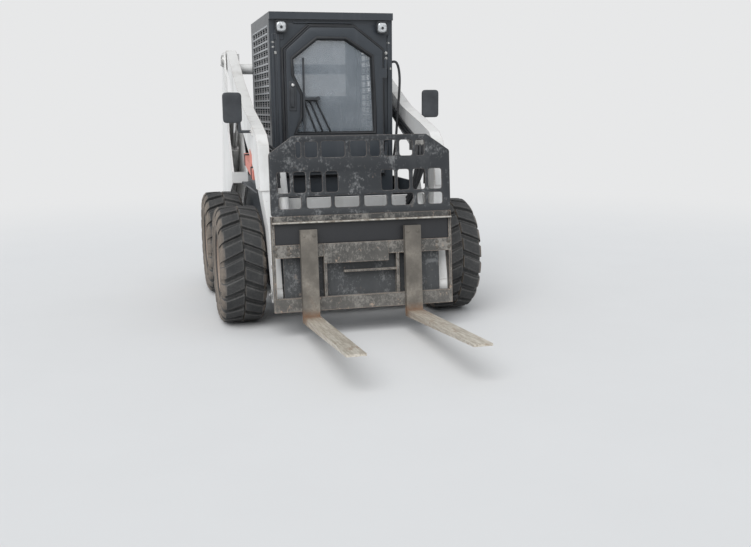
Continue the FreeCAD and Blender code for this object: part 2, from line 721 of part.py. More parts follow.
# Cab
cab_outer = box("cab_outer", "-cab_half", "cab_half", back("cab_front"), back("cab_rear"), "cab_floor",
                "cab_top - roof_wall")
cab_inner = box("cab_inner", "-cab_half + cab_wall", "cab_half - cab_wall", back("cab_front + cab_wall"),
                back("cab_rear - cab_wall"), "cab_floor + 12", "cab_top")
front_hole = box("cab_front_hole", "-cab_half + cab_wall + 12", "cab_half - cab_wall - 12", back("cab_front - 10"),
                 back("cab_front + cab_wall + 10"), "door_bottom + 20", "cab_top - roof_wall - 40")
rear_hole = box("cab_rear_hole", "-window_half", "window_half", back("cab_rear - cab_wall - 10"),
                back("cab_rear + 10"), "window_low", "window_high")
side_hole = box("cab_side_hole", "-cab_half - 10", "cab_half + 10", back("cab_front + 70"), back("cab_rear - 60"),
                "grille_bottom", "grille_top")
node("cab_frame", cut("cab_frame_cut", cab_outer, [cab_inner, front_hole, rear_hole, side_hole]))
node("cab_roof", box("cab_roof_plate", "-cab_half", "cab_half", back("cab_front - cab_lean"), back("cab_rear"),
                     "cab_top - roof_wall", "cab_top"))

# Side grilles: bars across an upright frame, standing in the cab's side openings
bar_count = int(number("grille_bars"))
front_rail = box("grille_front_rail", "cab_half - grille_wall", "cab_half", back("cab_front + 70.3"),
                 back("cab_front + 70.3 + grille_bar"), "grille_bottom + 0.3", "grille_top - 0.3")
rear_rail = box("grille_rear_rail", "cab_half - grille_wall", "cab_half", back("cab_rear - 60.3 - grille_bar"),
                back("cab_rear - 60.3"), "grille_bottom + 0.3", "grille_top - 0.3")
bars = [front_rail, rear_rail]
for index in range(bar_count):
    low = "grille_bottom + 0.3 + %d * (grille_top - grille_bottom - 0.6 - grille_bar) / (grille_bars - 1)" % index
    bars.append(box("grille_bar_%d" % index, "cab_half - grille_wall", "cab_half", back("cab_front + 70.3"),
                    back("cab_rear - 60.3"), low, low + " + grille_bar"))
grille = fuse("side_grille_bars", bars)
node("side_grille_left", grille)
node("side_grille_right", mirrored("side_grille_right_twin", grille))

# Rear window
node("rear_window", box("rear_pane", "-window_half + 0.3", "window_half - 0.3", back("cab_rear - cab_wall / 2 - 3"),
                        back("cab_rear - cab_wall / 2 - 3 + glass_wall"), "window_low + 0.3", "window_high - 0.3"))

# Seat on its pan
node("seat_pan", box("seat_pan_block", "-seat_half + 30", "seat_half - 30", back("seat_front + 40"),
                     back("seat_front + seat_depth"), "cab_floor + 12", "seat_height - cushion_thick - 0.3"))
node("seat_cushion", box("seat_cushion_block", "-seat_half", "seat_half", back("seat_front"),
                         back("seat_front + seat_depth - 0.3"), "seat_height - cushion_thick", "seat_height"))
node("seat_backrest", box("seat_backrest_block", "-seat_half", "seat_half", back("seat_front + seat_depth"),
                          back("seat_front + seat_depth + cushion_thick"), "seat_height - cushion_thick",
                          "seat_back_top"))

# Steering levers and the seat bar
lever_stick = rod("lever_stick", "Z", ("seat_half + 55", back("seat_front - 40"), "cab_floor + 12"),
                  "460", "lever_radius")
lever_grip = rod("lever_grip", "Z", ("seat_half + 55", back("seat_front - 40"), "cab_floor + 400"),
                 "110", "lever_radius + 9")
lever = fuse("lever_joined", [lever_stick, lever_grip])
node("levers", both_sides("levers_pair", lever))
bar_side = rod("seat_bar_side", "Y", ("seat_half + 25", back("seat_front + 130"), "seat_height + 180"),
               "cab_rear - cab_wall - seat_front - 130", "bar_radius")
bar_front = rod("seat_bar_front", "X", ("-seat_half - 25", back("seat_front + 130"), "seat_height + 180"),
                "2 * seat_half + 50", "bar_radius")
node("seat_bar", fuse("seat_bar_joined", [bar_side, mirrored("seat_bar_side_twin", bar_side), bar_front]))

# Lamps
lamp = rod("head_lamp_body", "Y", ("lamp_across", back("cab_front - 32"), "lamp_height"), "31.7", "lamp_radius")
node("head_lamps", both_sides("head_lamps_pair", lamp))
tail_body = pad("tail_lamp_body", "YZ", "arm_inner - 10", "70", side_points([
    ("frame_rear - 160", "tail_lamp_height + 60"), ("frame_rear - 110", "tail_lamp_height - 60"),
    ("frame_rear - 72", "tail_lamp_height - 50"), ("frame_rear - 124", "tail_lamp_height + 70")]))
tail = cut("tail_lamp_on_web", tail_body, [upright_left])
node("tail_lamps", both_sides("tail_lamps_pair", tail))

# Engine cover behind the cab
hood = box("hood_panel", "-hood_half", "hood_half", back("cab_rear + 0.3"), back("frame_rear"),
           "hood_top - hood_wall", "hood_top")
node("rear_cover", hood)
wall = box("rear_side_panel", "hood_half - hood_wall", "hood_half", back("cab_rear + 0.3"), back("frame_rear"),
           "frame_top", "hood_top - hood_wall")
node("rear_sides", both_sides("rear_sides_pair", wall))

# Cab door with its glass


def knuckles(label, spot, low):
    """A hinge of two knuckles: the lower turns, the upper stands and holds the pin."""
    turning = cut(label + "_turning", rod(label + "_barrel", "Z", spot + (low,), "knuckle_length", "knuckle_radius"),
                  [rod(label + "_bore", "Z", spot + (low,), "knuckle_length", "knuckle_pin_radius + running_gap")])
    upper = low + " + knuckle_length + seat_clearance"
    standing = fuse(label + "_standing", [
        rod(label + "_cap", "Z", spot + (upper,), "knuckle_length", "knuckle_radius"),
        rod(label + "_pin", "Z", spot + (low,), "2 * knuckle_length", "knuckle_pin_radius")])
    return turning, standing


door_front = "cab_front - door_gap - door_thick"
door = pad("door_panel", "XZ", "-(%s) - door_thick" % back(door_front), "door_thick", [
    ("-door_free", "door_bottom"), ("door_hinge", "door_bottom"),
    ("door_hinge", "door_top - 150"), ("door_hinge - 200", "door_top"),
    ("-door_free + 170", "door_top"), ("-door_free", "door_top - 150")],
    holes=[[("-door_free + 50", "door_bottom + 130"), ("door_hinge - 55", "door_bottom + 130"),
            ("door_hinge - 55", "door_top - 190"), ("door_hinge - 230", "door_top - 62"),
            ("-door_free + 200", "door_top - 62"), ("-door_free + 50", "door_top - 190")]])
door_spot = ("door_hinge + door_hinge_offset", back(door_front))
door_pieces, door_leaves = [door], []
for name, low in (("low", "door_bottom + 90"), ("high", "door_top - 330")):
    turning, standing = knuckles("door_" + name, door_spot, low)
    upper = low + " + knuckle_length + seat_clearance"
    arm = box("door_arm_" + name, "door_hinge - 30", "door_hinge + door_hinge_offset - knuckle_pin_radius - 1",
              back(door_front + " - leaf_wall"), back(door_front), low, low + " + knuckle_length")
    side = box("door_side_" + name, "door_hinge + door_hinge_offset + knuckle_pin_radius - 1",
               "door_hinge + door_hinge_offset + knuckle_radius", back(door_front), back("cab_front"), upper,
               upper + " + knuckle_length")
    flange = box("door_flange_" + name, "door_hinge + door_hinge_offset + knuckle_pin_radius - 1", "cab_half - 4",
                 back("cab_front - leaf_wall"), back("cab_front"), upper, upper + " + knuckle_length")
    door_pieces += [turning, arm]
    door_leaves.append(fuse("door_leaf_" + name, [standing, side, flange]))
node("door_frame", fuse("door_joined", door_pieces))
node("door_hinges", group("door_hinge_leaves", door_leaves))
glass = pad("door_pane", "XZ", "-(%s) - door_thick + 14" % back(door_front), "glass_wall", [
    ("-door_free + 50.3", "door_bottom + 130.3"), ("door_hinge - 55.3", "door_bottom + 130.3"),
    ("door_hinge - 55.3", "door_top - 190.3"), ("door_hinge - 230.3", "door_top - 62.3"),
    ("-door_free + 200.3", "door_top - 62.3"), ("-door_free + 50.3", "door_top - 190.3")])
node("door_glass", glass)

# Wiper on the door
blade = box("wiper_blade", "-210", "-198", back(door_front + " - 22"), back(door_front + " - 8"), "1190", "1665")
wiper_arm = box("wiper_arm", "-204", "-110", back(door_front + " - 20"), back(door_front + " - 12"), "1396", "1412")
wiper_foot = rod("wiper_foot", "Y", ("-110", back(door_front + " - 24"), "1404"),
                 "24 + door_thick - 14 - glass_wall - 0.3", "14")
node("wiper", fuse("wiper_joined", [blade, wiper_arm, wiper_foot]))

# Tailgate on its hinge leaves
tailgate_panel = box("tailgate_door", "-tailgate_half", "tailgate_half", back("frame_rear + tailgate_gap"),
                     back("tailgate_rear"), "tailgate_bottom", "hood_top")
gate_spot = ("tailgate_hinge", back("tailgate_rear - knuckle_radius"))
gate_pieces, gate_leaves = [tailgate_panel], []
for name, low in (("low", "tailgate_bottom + 90"), ("high", "hood_top - 260")):
    turning, standing = knuckles("gate_" + name, gate_spot, low)
    upper = low + " + knuckle_length + seat_clearance"
    arm = box("gate_arm_" + name, "tailgate_half - 40", "tailgate_hinge - knuckle_pin_radius - 1",
              back("tailgate_rear - leaf_wall"), back("tailgate_rear"), low, low + " + knuckle_length")
    side = box("gate_side_" + name, "tailgate_hinge + knuckle_pin_radius - 1", "tailgate_hinge + knuckle_radius",
               back("frame_rear"), back("tailgate_rear - knuckle_radius"), upper, upper + " + knuckle_length")
    flange = box("gate_flange_" + name, "tailgate_hinge + knuckle_pin_radius - 1", "hood_half",
                 back("frame_rear"), back("frame_rear + leaf_wall"), upper, upper + " + knuckle_length")
    gate_pieces += [turning, arm]
    gate_leaves.append(fuse("gate_leaf_" + name, [standing, side, flange]))
node("tailgate", fuse("tailgate_joined", gate_pieces))
node("tailgate_hinges", group("tailgate_hinge_leaves", gate_leaves))

# Writing the pieces
doc.recompute()
for thing in doc.Objects:
    if "Invalid" in thing.State or "Error" in thing.State:
        raise RuntimeError("%s did not build" % thing.Label)
for label, thing in nodes.items():
    if thing.Shape.isNull() or not thing.Shape.isValid():
        raise RuntimeError("%s is not a sound solid" % label)
os.makedirs("parts", exist_ok=True)
for label, thing in nodes.items():
    thing.Shape.exportStep("parts/%s.step" % label)
    print(label, len(thing.Shape.Solids), "solids")
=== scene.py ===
# %% [markdown]
# # Skid steer loader with a pallet fork frame
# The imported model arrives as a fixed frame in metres, with the machine facing -Y and its own left at +X.
# This notebook gives every piece its finish, adds the small trim, and sets the camera and the light.

# %% Frame
import json
import math

import bmesh
import bpy
from mathutils import Matrix, Vector


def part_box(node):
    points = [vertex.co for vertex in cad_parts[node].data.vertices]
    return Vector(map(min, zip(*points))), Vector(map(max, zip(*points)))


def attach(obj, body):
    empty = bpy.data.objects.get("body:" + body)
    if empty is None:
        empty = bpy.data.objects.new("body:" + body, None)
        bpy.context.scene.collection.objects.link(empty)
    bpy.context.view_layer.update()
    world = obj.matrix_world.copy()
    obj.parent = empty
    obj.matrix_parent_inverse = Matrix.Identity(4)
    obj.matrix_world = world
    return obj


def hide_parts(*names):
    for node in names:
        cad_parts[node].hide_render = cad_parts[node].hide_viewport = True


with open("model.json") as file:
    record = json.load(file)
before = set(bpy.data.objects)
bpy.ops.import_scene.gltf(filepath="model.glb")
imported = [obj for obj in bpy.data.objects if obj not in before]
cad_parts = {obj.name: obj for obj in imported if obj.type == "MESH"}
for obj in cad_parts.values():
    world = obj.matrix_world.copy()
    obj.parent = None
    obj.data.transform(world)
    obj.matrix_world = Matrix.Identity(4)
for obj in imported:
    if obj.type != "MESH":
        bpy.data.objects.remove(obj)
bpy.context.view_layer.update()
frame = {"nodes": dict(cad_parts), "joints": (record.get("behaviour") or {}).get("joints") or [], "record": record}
nodes = frame["nodes"]

# %% [markdown]
# The camera stands where a fit to the photograph puts it: ahead of the machine and to its right, at
# eye height, looking slightly down. It could be aimed with a Track To constraint, but a matrix made
# of three directions also carries the small roll. The shifts are the photograph's off-centre framing.

# %% Camera
YAW, PITCH, ROLL = math.radians(14.353), math.radians(11.385), math.radians(-0.568)
EYE = Vector((-1.270, -5.744, 1.352))
SENSOR_MM, FOCAL_MM = 36, 42.455
SHIFT_ACROSS, SHIFT_UP = 0.0076, 0.0146
forward = Vector((math.sin(YAW) * math.cos(PITCH), math.cos(YAW) * math.cos(PITCH), -math.sin(PITCH)))
level = Vector((math.cos(YAW), -math.sin(YAW), 0))
upright = level.cross(forward)
right = level * math.cos(ROLL) + upright * math.sin(ROLL)
up = upright * math.cos(ROLL) - level * math.sin(ROLL)
lens = bpy.data.cameras.new("camera")
lens.sensor_width = SENSOR_MM
lens.lens = FOCAL_MM
lens.shift_x, lens.shift_y = SHIFT_ACROSS, SHIFT_UP
camera = bpy.data.objects.new("camera", lens)
camera.matrix_world = Matrix.Translation(EYE) @ Matrix((right, up, -forward)).transposed().to_4x4()
bpy.context.scene.collection.objects.link(camera)
bpy.context.scene.camera = camera
print("camera at", tuple(round(value, 3) for value in EYE))

# %% [markdown]
# A material is a small program of nodes. It could be drawn by hand in the Shader Editor, but here
# `Wire` stands for one value flowing between nodes, so that ordinary arithmetic on wires writes the
# Math nodes, and `node` adds any other kind. A finish then reads like a formula.


# %% Wires
class Wire:
    """A value in a material's node tree; arithmetic on it adds Math nodes."""

    def __init__(self, tree, socket):
        self.tree = tree
        self.socket = socket

    def feed(self, slot, value):
        if isinstance(value, Wire):
            self.tree.links.new(value.socket, slot)
        elif isinstance(value, (tuple, list)) and len(value) == 3 and slot.type == "RGBA":
            slot.default_value = (*value, 1)
        else:
            slot.default_value = value

    def node(self, kind, output=0, inputs=None, **settings):
        """Adds a node of any kind, feeds its inputs and returns one of its outputs."""
        made = self.tree.nodes.new("ShaderNode" + kind)
        for name, value in settings.items():
            setattr(made, name, value)
        for key, value in (inputs or {}).items():
            self.feed(made.inputs[key], value)
        return Wire(self.tree, made.outputs[output])

    def math(self, operation, *values):
        return self.node("Math", inputs=dict(enumerate(values)), operation=operation)

    def __add__(self, other):
        return self.math("ADD", self, other)

    def __sub__(self, other):
        return self.math("SUBTRACT", self, other)

    def __rsub__(self, other):
        return self.math("SUBTRACT", other, self)

    def __mul__(self, other):
        return self.math("MULTIPLY", self, other)

    __radd__ = __add__
    __rmul__ = __mul__

    def absolute(self):
        return self.math("ABSOLUTE", self)

    def step(self, low, high):
        """0 below low, 1 above high and smooth between them."""
        return self.node("MapRange", inputs={0: self, 1: low, 2: high}, interpolation_type="SMOOTHSTEP")

    def least(self, other):
        return self.math("MINIMUM", self, other)

    def most(self, other):
        return self.math("MAXIMUM", self, other)

    def tint(self, low, high):
        """The colour low where this is 0 and high where it is 1."""
        return self.node("Mix", 2, {0: self, 6: low, 7: high}, data_type="RGBA")


# %% [markdown]
# Every finish starts from a fresh material. Patterns could follow an unwrapped surface, but these
# read the object's own coordinates: nothing has to be unwrapped, and the marks stay on the metal when
# the arms or the door move.


# %% Patterns
def fresh(name):
    """A new material: a wire into its tree and its main shader."""
    made = bpy.data.materials.new(name)
    made.use_nodes = True
    shader = made.node_tree.nodes["Principled BSDF"]
    return made, Wire(made.node_tree, None), shader


def place(wire, output="Object"):
    """Where a point of the surface lies, or which way it faces."""
    return wire.node("TexCoord", output)


def axes(wire, output="Object"):
    """The three coordinates, each as a wire."""
    split = wire.node("SeparateXYZ", 0, {0: place(wire, output)})
    outputs = split.socket.node.outputs
    return [Wire(wire.tree, outputs[i]) for i in range(3)]


def noise(wire, scale, detail=4.0, rough=0.6, stretch=(1, 1, 1), shift=0.0):
    """Cloudy noise; stretch makes it finer along an axis and so streaked across it."""
    where = wire.node("Mapping", 0, {0: place(wire), 1: (shift, shift, shift), 3: stretch})
    return wire.node("TexNoise", 0, {"Vector": where, "Scale": scale, "Detail": detail, "Roughness": rough})


def edge_wear(wire, reach):
    """1 on outer edges: how far the rounded normal turns from the flat one."""
    soft = wire.node("Bevel", 0, {"Radius": reach}, samples=4)
    flat = wire.node("NewGeometry", "Normal")
    turn = wire.node("VectorMath", "Value", {0: soft, 1: flat}, operation="DOT_PRODUCT")
    return 1 - turn


def finish_with(wire, shader, colour, roughness, bump=None, bump_size=0.001, **fixed):
    """Plugs the worked-out colour, roughness and relief into the shader."""
    wire.feed(shader.inputs["Base Color"], colour)
    wire.feed(shader.inputs["Roughness"], roughness)
    if bump is not None:
        relief = wire.node("Bump", 0, {"Height": bump, "Distance": bump_size, "Strength": 0.6})
        wire.feed(shader.inputs["Normal"], relief)
    for key, value in fixed.items():
        shader.inputs[key.replace("_", " ")].default_value = value


# %% [markdown]
# Painted steel is the main finish. Photographs of paint could be wrapped round each piece, but a
# finish worked out from noise fits any shape and stays sharp up close. Paint is worn through along
# edges and in chips, dust settles on what faces up and near the ground, and rain has left faint
# vertical streaks. Noise gathers round 0.5, so a step above that picks out its peaks.


# %% Paint
def paint(name, base, dust, bare, dusty=0.5, worn=0.5, streaks=0.3, gloss=0.45, ground=0.9, scraped=0.0):
    """Painted steel: the colours of paint, dust and bare metal, then how much it has been through."""
    made, wire, shader = fresh(name)
    height = axes(wire)[2]
    faces_up = axes(wire, "Normal")[2]
    cloud = noise(wire, 3.0, 6.0)
    fine = noise(wire, 34.0, 5.0, 0.7, shift=3.0)
    runs = noise(wire, 9.0, 3.0, 0.6, (1, 1, 0.09), shift=7.0)
    low = (ground - height).step(0.0, ground) * 0.8
    settled = (faces_up.step(0.35, 0.95) * 0.8 + low) * (cloud * 0.7 + fine * 0.5)
    settled = (settled * dusty * 1.5 + runs.step(0.5, 0.72) * streaks * 0.35).least(0.92)
    coat = (cloud * 0.6 + fine * 0.4).tint([v * 0.8 for v in base], [min(1, v * 1.18) for v in base])
    dirty = settled.tint(coat, dust)
    if scraped:
        grain = noise(wire, 75.0, 6.0, 0.8, (1, 1, 0.7), shift=13.0)
        patches = noise(wire, 9.0, 6.0, 0.7, shift=17.0)
        scrapes = (grain * 0.5 + patches * 0.5).step(0.56 - 0.09 * scraped, 0.64 - 0.05 * scraped)
        dirty = (scrapes * 0.85).tint(dirty, [v * 1.5 for v in dust])
    chips = noise(wire, 21.0, 8.0, 0.75, shift=11.0)
    spots = (chips + low * 0.05).step(0.66 - 0.05 * worn, 0.72 - 0.05 * worn) * worn
    rubbed = edge_wear(wire, 0.006) * 14 * (fine * 1.4 - 0.25)
    through = (spots + rubbed.step(0.25, 0.8) * worn).least(1.0)
    rusty = noise(wire, 60.0, 4.0, 0.6, shift=5.0).tint(bare, [bare[0] * 0.8, bare[1] * 0.5, bare[2] * 0.35])
    rough = gloss + settled * 0.4 + through * 0.25 + fine * 0.08
    relief = fine * 0.3 + through * -0.5 + settled * 0.3
    finish_with(wire, shader, through.tint(dirty, rusty), rough.least(1.0), relief, 0.0015)
    return made


# %% [markdown]
# The machine has white arms, a blue-black body and cab, and frames that loads have scraped. Each kind
# of paint is one call, so that a change of weathering reaches every piece that wears it.

# %% Paints of this machine
WHITE = paint("paint_white", (0.80, 0.80, 0.79), (0.38, 0.36, 0.33), (0.20, 0.14, 0.10),
              dusty=0.42, worn=0.55, streaks=0.8, gloss=0.36, ground=0.8)
DARK = paint("paint_dark", (0.034, 0.041, 0.050), (0.13, 0.135, 0.14), (0.15, 0.16, 0.17),
             dusty=0.36, worn=0.3, streaks=0.3, gloss=0.32, ground=0.9)
SCREEN = paint("backrest_worn", (0.020, 0.023, 0.027), (0.12, 0.123, 0.125), (0.30, 0.29, 0.27),
               dusty=0.6, worn=0.6, streaks=0.3, gloss=0.40, ground=1.0, scraped=0.45)
WORN = paint("frame_worn", (0.032, 0.033, 0.033), (0.17, 0.16, 0.145), (0.40, 0.38, 0.34),
             dusty=0.8, worn=1.0, streaks=0.5, gloss=0.50, ground=1.0, scraped=1.0)
GRILLE = paint("grille_dusty", (0.33, 0.35, 0.37), (0.46, 0.46, 0.45), (0.34, 0.34, 0.33),
               dusty=1.0, worn=0.5, streaks=0.3, gloss=0.5, ground=2.2)
RED = paint("paint_faded_red", (0.74, 0.24, 0.19), (0.56, 0.40, 0.34), (0.30, 0.16, 0.10),
            dusty=0.5, worn=0.4, streaks=0.3, gloss=0.5, ground=0.5)
RIM = paint("rim_paint", (0.30, 0.235, 0.19), (0.34, 0.29, 0.25), (0.22, 0.12, 0.07),
            dusty=0.9, worn=0.7, streaks=0.2, gloss=0.6, ground=0.9, scraped=0.5)
BLACK = paint("bar_paint", (0.020, 0.021, 0.024), (0.12, 0.115, 0.11), (0.10, 0.10, 0.10),
              dusty=0.4, worn=0.2, streaks=0.1, gloss=0.4, ground=0.4)
IRON = paint("engine_iron", (0.09, 0.09, 0.09), (0.16, 0.15, 0.14), (0.14, 0.10, 0.08),
             dusty=0.6, worn=0.4, streaks=0.2, gloss=0.6, ground=0.4)
print(len(bpy.data.materials), "materials so far")

# %% [markdown]
# The forks are bare forged steel: shanks grey with old dirt, heels rusty, and blades rubbed pale by
# the pallets and stones that they slide under. One material could be painted by hand along each fork.
# Here the place along the fork and the height choose between the three looks.

# %% Fork steel
HEEL_HEIGHT = 0.13
BLADE_STARTS, BLADE_PALE = 0.80, 1.05


def fork_steel():
    """Bare steel that changes along the fork: grey shank, rusty heel and pale blade."""
    made, wire, shader = fresh("fork_steel")
    spot = axes(wire)
    along, height = spot[1], spot[2]
    cloud = noise(wire, 7.0, 6.0, 0.65)
    fine = noise(wire, 55.0, 6.0, 0.75, shift=2.0)
    scratches = noise(wire, 30.0, 4.0, 0.6, (3, 0.12, 3), shift=4.0)
    shank = cloud.tint((0.085, 0.078, 0.068), (0.22, 0.20, 0.175))
    pale = (scratches * 0.6 + fine * 0.4).step(0.35, 0.65).tint((0.40, 0.35, 0.28), (0.70, 0.66, 0.58))
    blade = ((0 - along) + cloud * 0.25).step(BLADE_STARTS, BLADE_PALE)
    rust = noise(wire, 26.0, 5.0, 0.7, shift=6.0).tint((0.20, 0.085, 0.035), (0.34, 0.20, 0.11))
    heel = (1 - (height - HEEL_HEIGHT).absolute() * 9) * (fine * 0.9 + 0.35)
    body = blade.tint(shank, pale)
    heel_only = heel.step(0.35, 0.9) * (1 - blade * 0.75) * 0.8
    flakes = noise(wire, 16.0, 6.0, 0.7, (1, 0.5, 1), shift=9.0).step(0.55, 0.68) * blade * 0.6
    colour = (heel_only + flakes).least(1.0).tint(body, rust)
    rough = 0.72 - blade * 0.25 + heel_only * 0.2
    finish_with(wire, shader, colour, rough, fine * 0.6 + scratches * 0.4, 0.002, Metallic=0.35)
    return made


FORK = fork_steel()
print("made", FORK.name)

# %% [markdown]
# Tyre rubber is dark in its depths, greyer where dust has been ground in, and brown with dry mud on
# the side walls. Which way the surface faces tells the side wall from the tread.


# %% Tyre rubber
def tyre_rubber():
    """Rubber with a dark tread and dusty side walls."""
    made, wire, shader = fresh("tyre")
    cloud = noise(wire, 6.0, 6.0)
    fine = noise(wire, 70.0, 6.0, 0.75, shift=1.0)
    worn_top = edge_wear(wire, 0.012) * 8
    outward = axes(wire, "Normal")[0]
    side_wall = outward.absolute().step(0.45, 0.9)
    dust = (cloud * 0.6 + fine * 0.5 + worn_top.least(0.25) + side_wall * 0.30).step(0.42, 1.05)
    tread = dust.tint((0.026, 0.027, 0.028), (0.125, 0.122, 0.118))
    colour = (side_wall * 0.8).tint(tread, dust.tint((0.060, 0.052, 0.045), (0.26, 0.215, 0.175)))
    finish_with(wire, shader, colour, 0.80 + dust * 0.15, fine + cloud * 0.5, 0.004)
    return made


TYRE = tyre_rubber()
print("made", TYRE.name)


# %% [markdown]
# Chrome, zinc, plastic and vinyl differ mostly in two colours and two roughnesses, between which the
# surface wanders. The cab's glass carries a film of dust that hides and dulls it in clouds. One
# helper makes all the plain finishes, and the glass has its own, because it also varies its Alpha.


# %% Plain finishes and glass
def plain(name, low, high, rough_low, rough_high, scale=20.0, grain=90.0, relief=0.0006, **fixed):
    """A finish whose colour and roughness wander between two values, with a fine grain."""
    made, wire, shader = fresh(name)
    cloud = noise(wire, scale, 5.0)
    fine = noise(wire, grain, 4.0, 0.7, shift=2.0)
    mottled = (cloud * 0.7 + fine * 0.3).step(0.3, 0.7)
    rough = rough_low + mottled * (rough_high - rough_low)
    finish_with(wire, shader, mottled.tint(low, high), rough, fine, relief, **fixed)
    return made


def dusty_glass():
    """Clear glass under a cloudy film of dust."""
    made, wire, shader = fresh("glass")
    cloud = noise(wire, 4.0, 5.0, 0.6)
    fine = noise(wire, 40.0, 5.0, 0.7, shift=2.0)
    film = (cloud * 0.6 + fine * 0.4).step(0.3, 0.75)
    finish_with(wire, shader, film.tint((0.24, 0.28, 0.32), (0.34, 0.38, 0.42)), 0.05 + film * 0.12,
                Specular_IOR_Level=0.8)
    wire.feed(shader.inputs["Alpha"], 0.40 + film * 0.14)
    return made


GLASS = dusty_glass()
CHROME = plain("rod_chrome", (0.60, 0.60, 0.60), (0.74, 0.74, 0.74), 0.10, 0.22, Metallic=1.0)
STEEL = plain("coupler_steel", (0.28, 0.28, 0.27), (0.52, 0.51, 0.49), 0.3, 0.5, Metallic=0.9)
PLASTIC = plain("black_plastic", (0.022, 0.025, 0.030), (0.050, 0.055, 0.062), 0.42, 0.62,
                scale=12.0, grain=260.0, relief=0.0004)
VINYL = plain("seat_vinyl", (0.020, 0.021, 0.024), (0.042, 0.043, 0.047), 0.45, 0.65,
              scale=8.0, grain=320.0, relief=0.0008)
LENS = plain("lamp_lens", (0.36, 0.38, 0.40), (0.80, 0.82, 0.83), 0.06, 0.2,
             scale=60.0, grain=160.0, relief=0.0016, Metallic=0.35)
RUBBER = plain("black_rubber", (0.012, 0.013, 0.015), (0.030, 0.032, 0.036), 0.55, 0.75,
               scale=12.0, grain=200.0)
BARE = plain("rubbed_steel", (0.16, 0.13, 0.10), (0.66, 0.65, 0.61), 0.3, 0.6,
             scale=26.0, grain=160.0, relief=0.0008, Metallic=0.5)
BOLT = plain("bolt_zinc", (0.30, 0.30, 0.30), (0.62, 0.62, 0.60), 0.25, 0.45,
             scale=40.0, grain=200.0, relief=0.0003, Metallic=0.9)
print(len(bpy.data.materials), "materials in all")

# %% [markdown]
# Each CAD piece names the finish it wears, its material slot, in the record that comes with the
# frame. Four pieces get a finish of their own, since the photograph shows them dustier or darker.

# %% Finishes onto the CAD pieces
FINISHES = {
    "paint_dark": DARK, "paint_white": WHITE, "paint_faded_red": RED, "rim_paint": RIM, "tyre": TYRE,
    "rod_chrome": CHROME, "frame_worn": WORN, "fork_steel": FORK, "glass": GLASS,
    "black_plastic": PLASTIC, "engine_iron": IRON, "coupler_steel": STEEL, "bar_paint": BLACK,
    "seat_vinyl": VINYL, "lamp_lens": LENS,
}
OWN_FINISH = {"side_grille_left": GRILLE, "side_grille_right": GRILLE,
              "head_lamps": PLASTIC, "coupler": SCREEN}
record_rows = frame["record"]["subparts"]
for row in record_rows:
    piece = nodes[row["node"]]
    piece.data.materials.clear()
    piece.data.materials.append(OWN_FINISH.get(row["node"], FINISHES[row["material_slot"]]))
print(len(record_rows), "pieces finished")

# %% [markdown]
# Pressed and welded steel has no knife edges. Its corners could be rounded in the solids, at the cost
# of many small faces. A Bevel modifier rounds each piece a little instead, so that edges catch the
# light while the piece's own mesh stays as it is.

# %% Rounded edges
ROUND_ALREADY = ("tyre", "glass", "seat_vinyl", "rod_chrome")
THIN_PIECES = ("side_grille_left", "side_grille_right", "wiper", "door_hinges", "tailgate_hinges",
               "hose_couplers")
EDGE_WIDTH, THIN_EDGE_WIDTH = 0.0025, 0.0008


def soften(piece, width, sharpest=30):
    """Rounds the edges that turn by more than the sharpest angle, in degrees."""
    softer = piece.modifiers.new("soft edges", "BEVEL")
    softer.width = width
    softer.segments = 2
    softer.limit_method = "ANGLE"
    softer.angle_limit = math.radians(sharpest)


for row in record_rows:
    if row["material_slot"] not in ROUND_ALREADY:
        soften(nodes[row["node"]], THIN_EDGE_WIDTH if row["node"] in THIN_PIECES else EDGE_WIDTH, 40)
print("edges rounded")

# %% [markdown]
# Small pieces are blocks, bars and bolts. Each could be an object of its own, but a few helpers add
# them to one mesh, and `finished` turns that mesh into a piece that rides on its body.


# %% Small-piece helpers
def block(mesh, low, high, place_at=Matrix()):
    """A box between two corners."""
    middle = (Vector(low) + Vector(high)) / 2
    size = [abs(b - a) for a, b in zip(low, high)]
    shape = Matrix.Translation(middle) @ Matrix.Diagonal((*size, 1))
    bmesh.ops.create_cube(mesh, size=1, matrix=place_at @ shape)


def bar(mesh, start, end, radius, sides=16, place_at=Matrix(), tip=None):
    """A round bar between two points; tip gives its far end another radius."""
    start, end = place_at @ Vector(start), place_at @ Vector(end)
    line = end - start
    turn = line.to_track_quat("Z", "Y").to_matrix().to_4x4()
    bmesh.ops.create_cone(mesh, cap_ends=True, segments=sides, radius1=radius,
                          radius2=radius if tip is None else tip, depth=line.length,
                          matrix=Matrix.Translation((start + end) / 2) @ turn)


def bolt(mesh, spot, outward, radius=0.009, height=0.007, place_at=Matrix()):
    """A hexagon head on its washer."""
    spot, outward = Vector(spot), Vector(outward)
    bar(mesh, spot, spot + outward * 0.002, radius * 1.5, 20, place_at)
    bar(mesh, spot + outward * 0.002, spot + outward * height, radius, 6, place_at, radius * 0.92)


def finished(name, mesh, material, body, bevel=0.0, smooth=35, replaces=()):
    """The mesh as a piece of the machine."""
    data = bpy.data.meshes.new(name)
    bmesh.ops.recalc_face_normals(mesh, faces=mesh.faces)
    mesh.to_mesh(data)
    mesh.free()
    piece = bpy.data.objects.new(name, data)
    bpy.context.scene.collection.objects.link(piece)
    data.materials.append(material)
    data.shade_smooth()
    data.set_sharp_from_angle(angle=math.radians(smooth))
    if bevel:
        soften(piece, bevel)
    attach(piece, body)
    if replaces:
        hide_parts(*replaces)
    print(name, len(data.polygons), "faces on", body)
    return piece


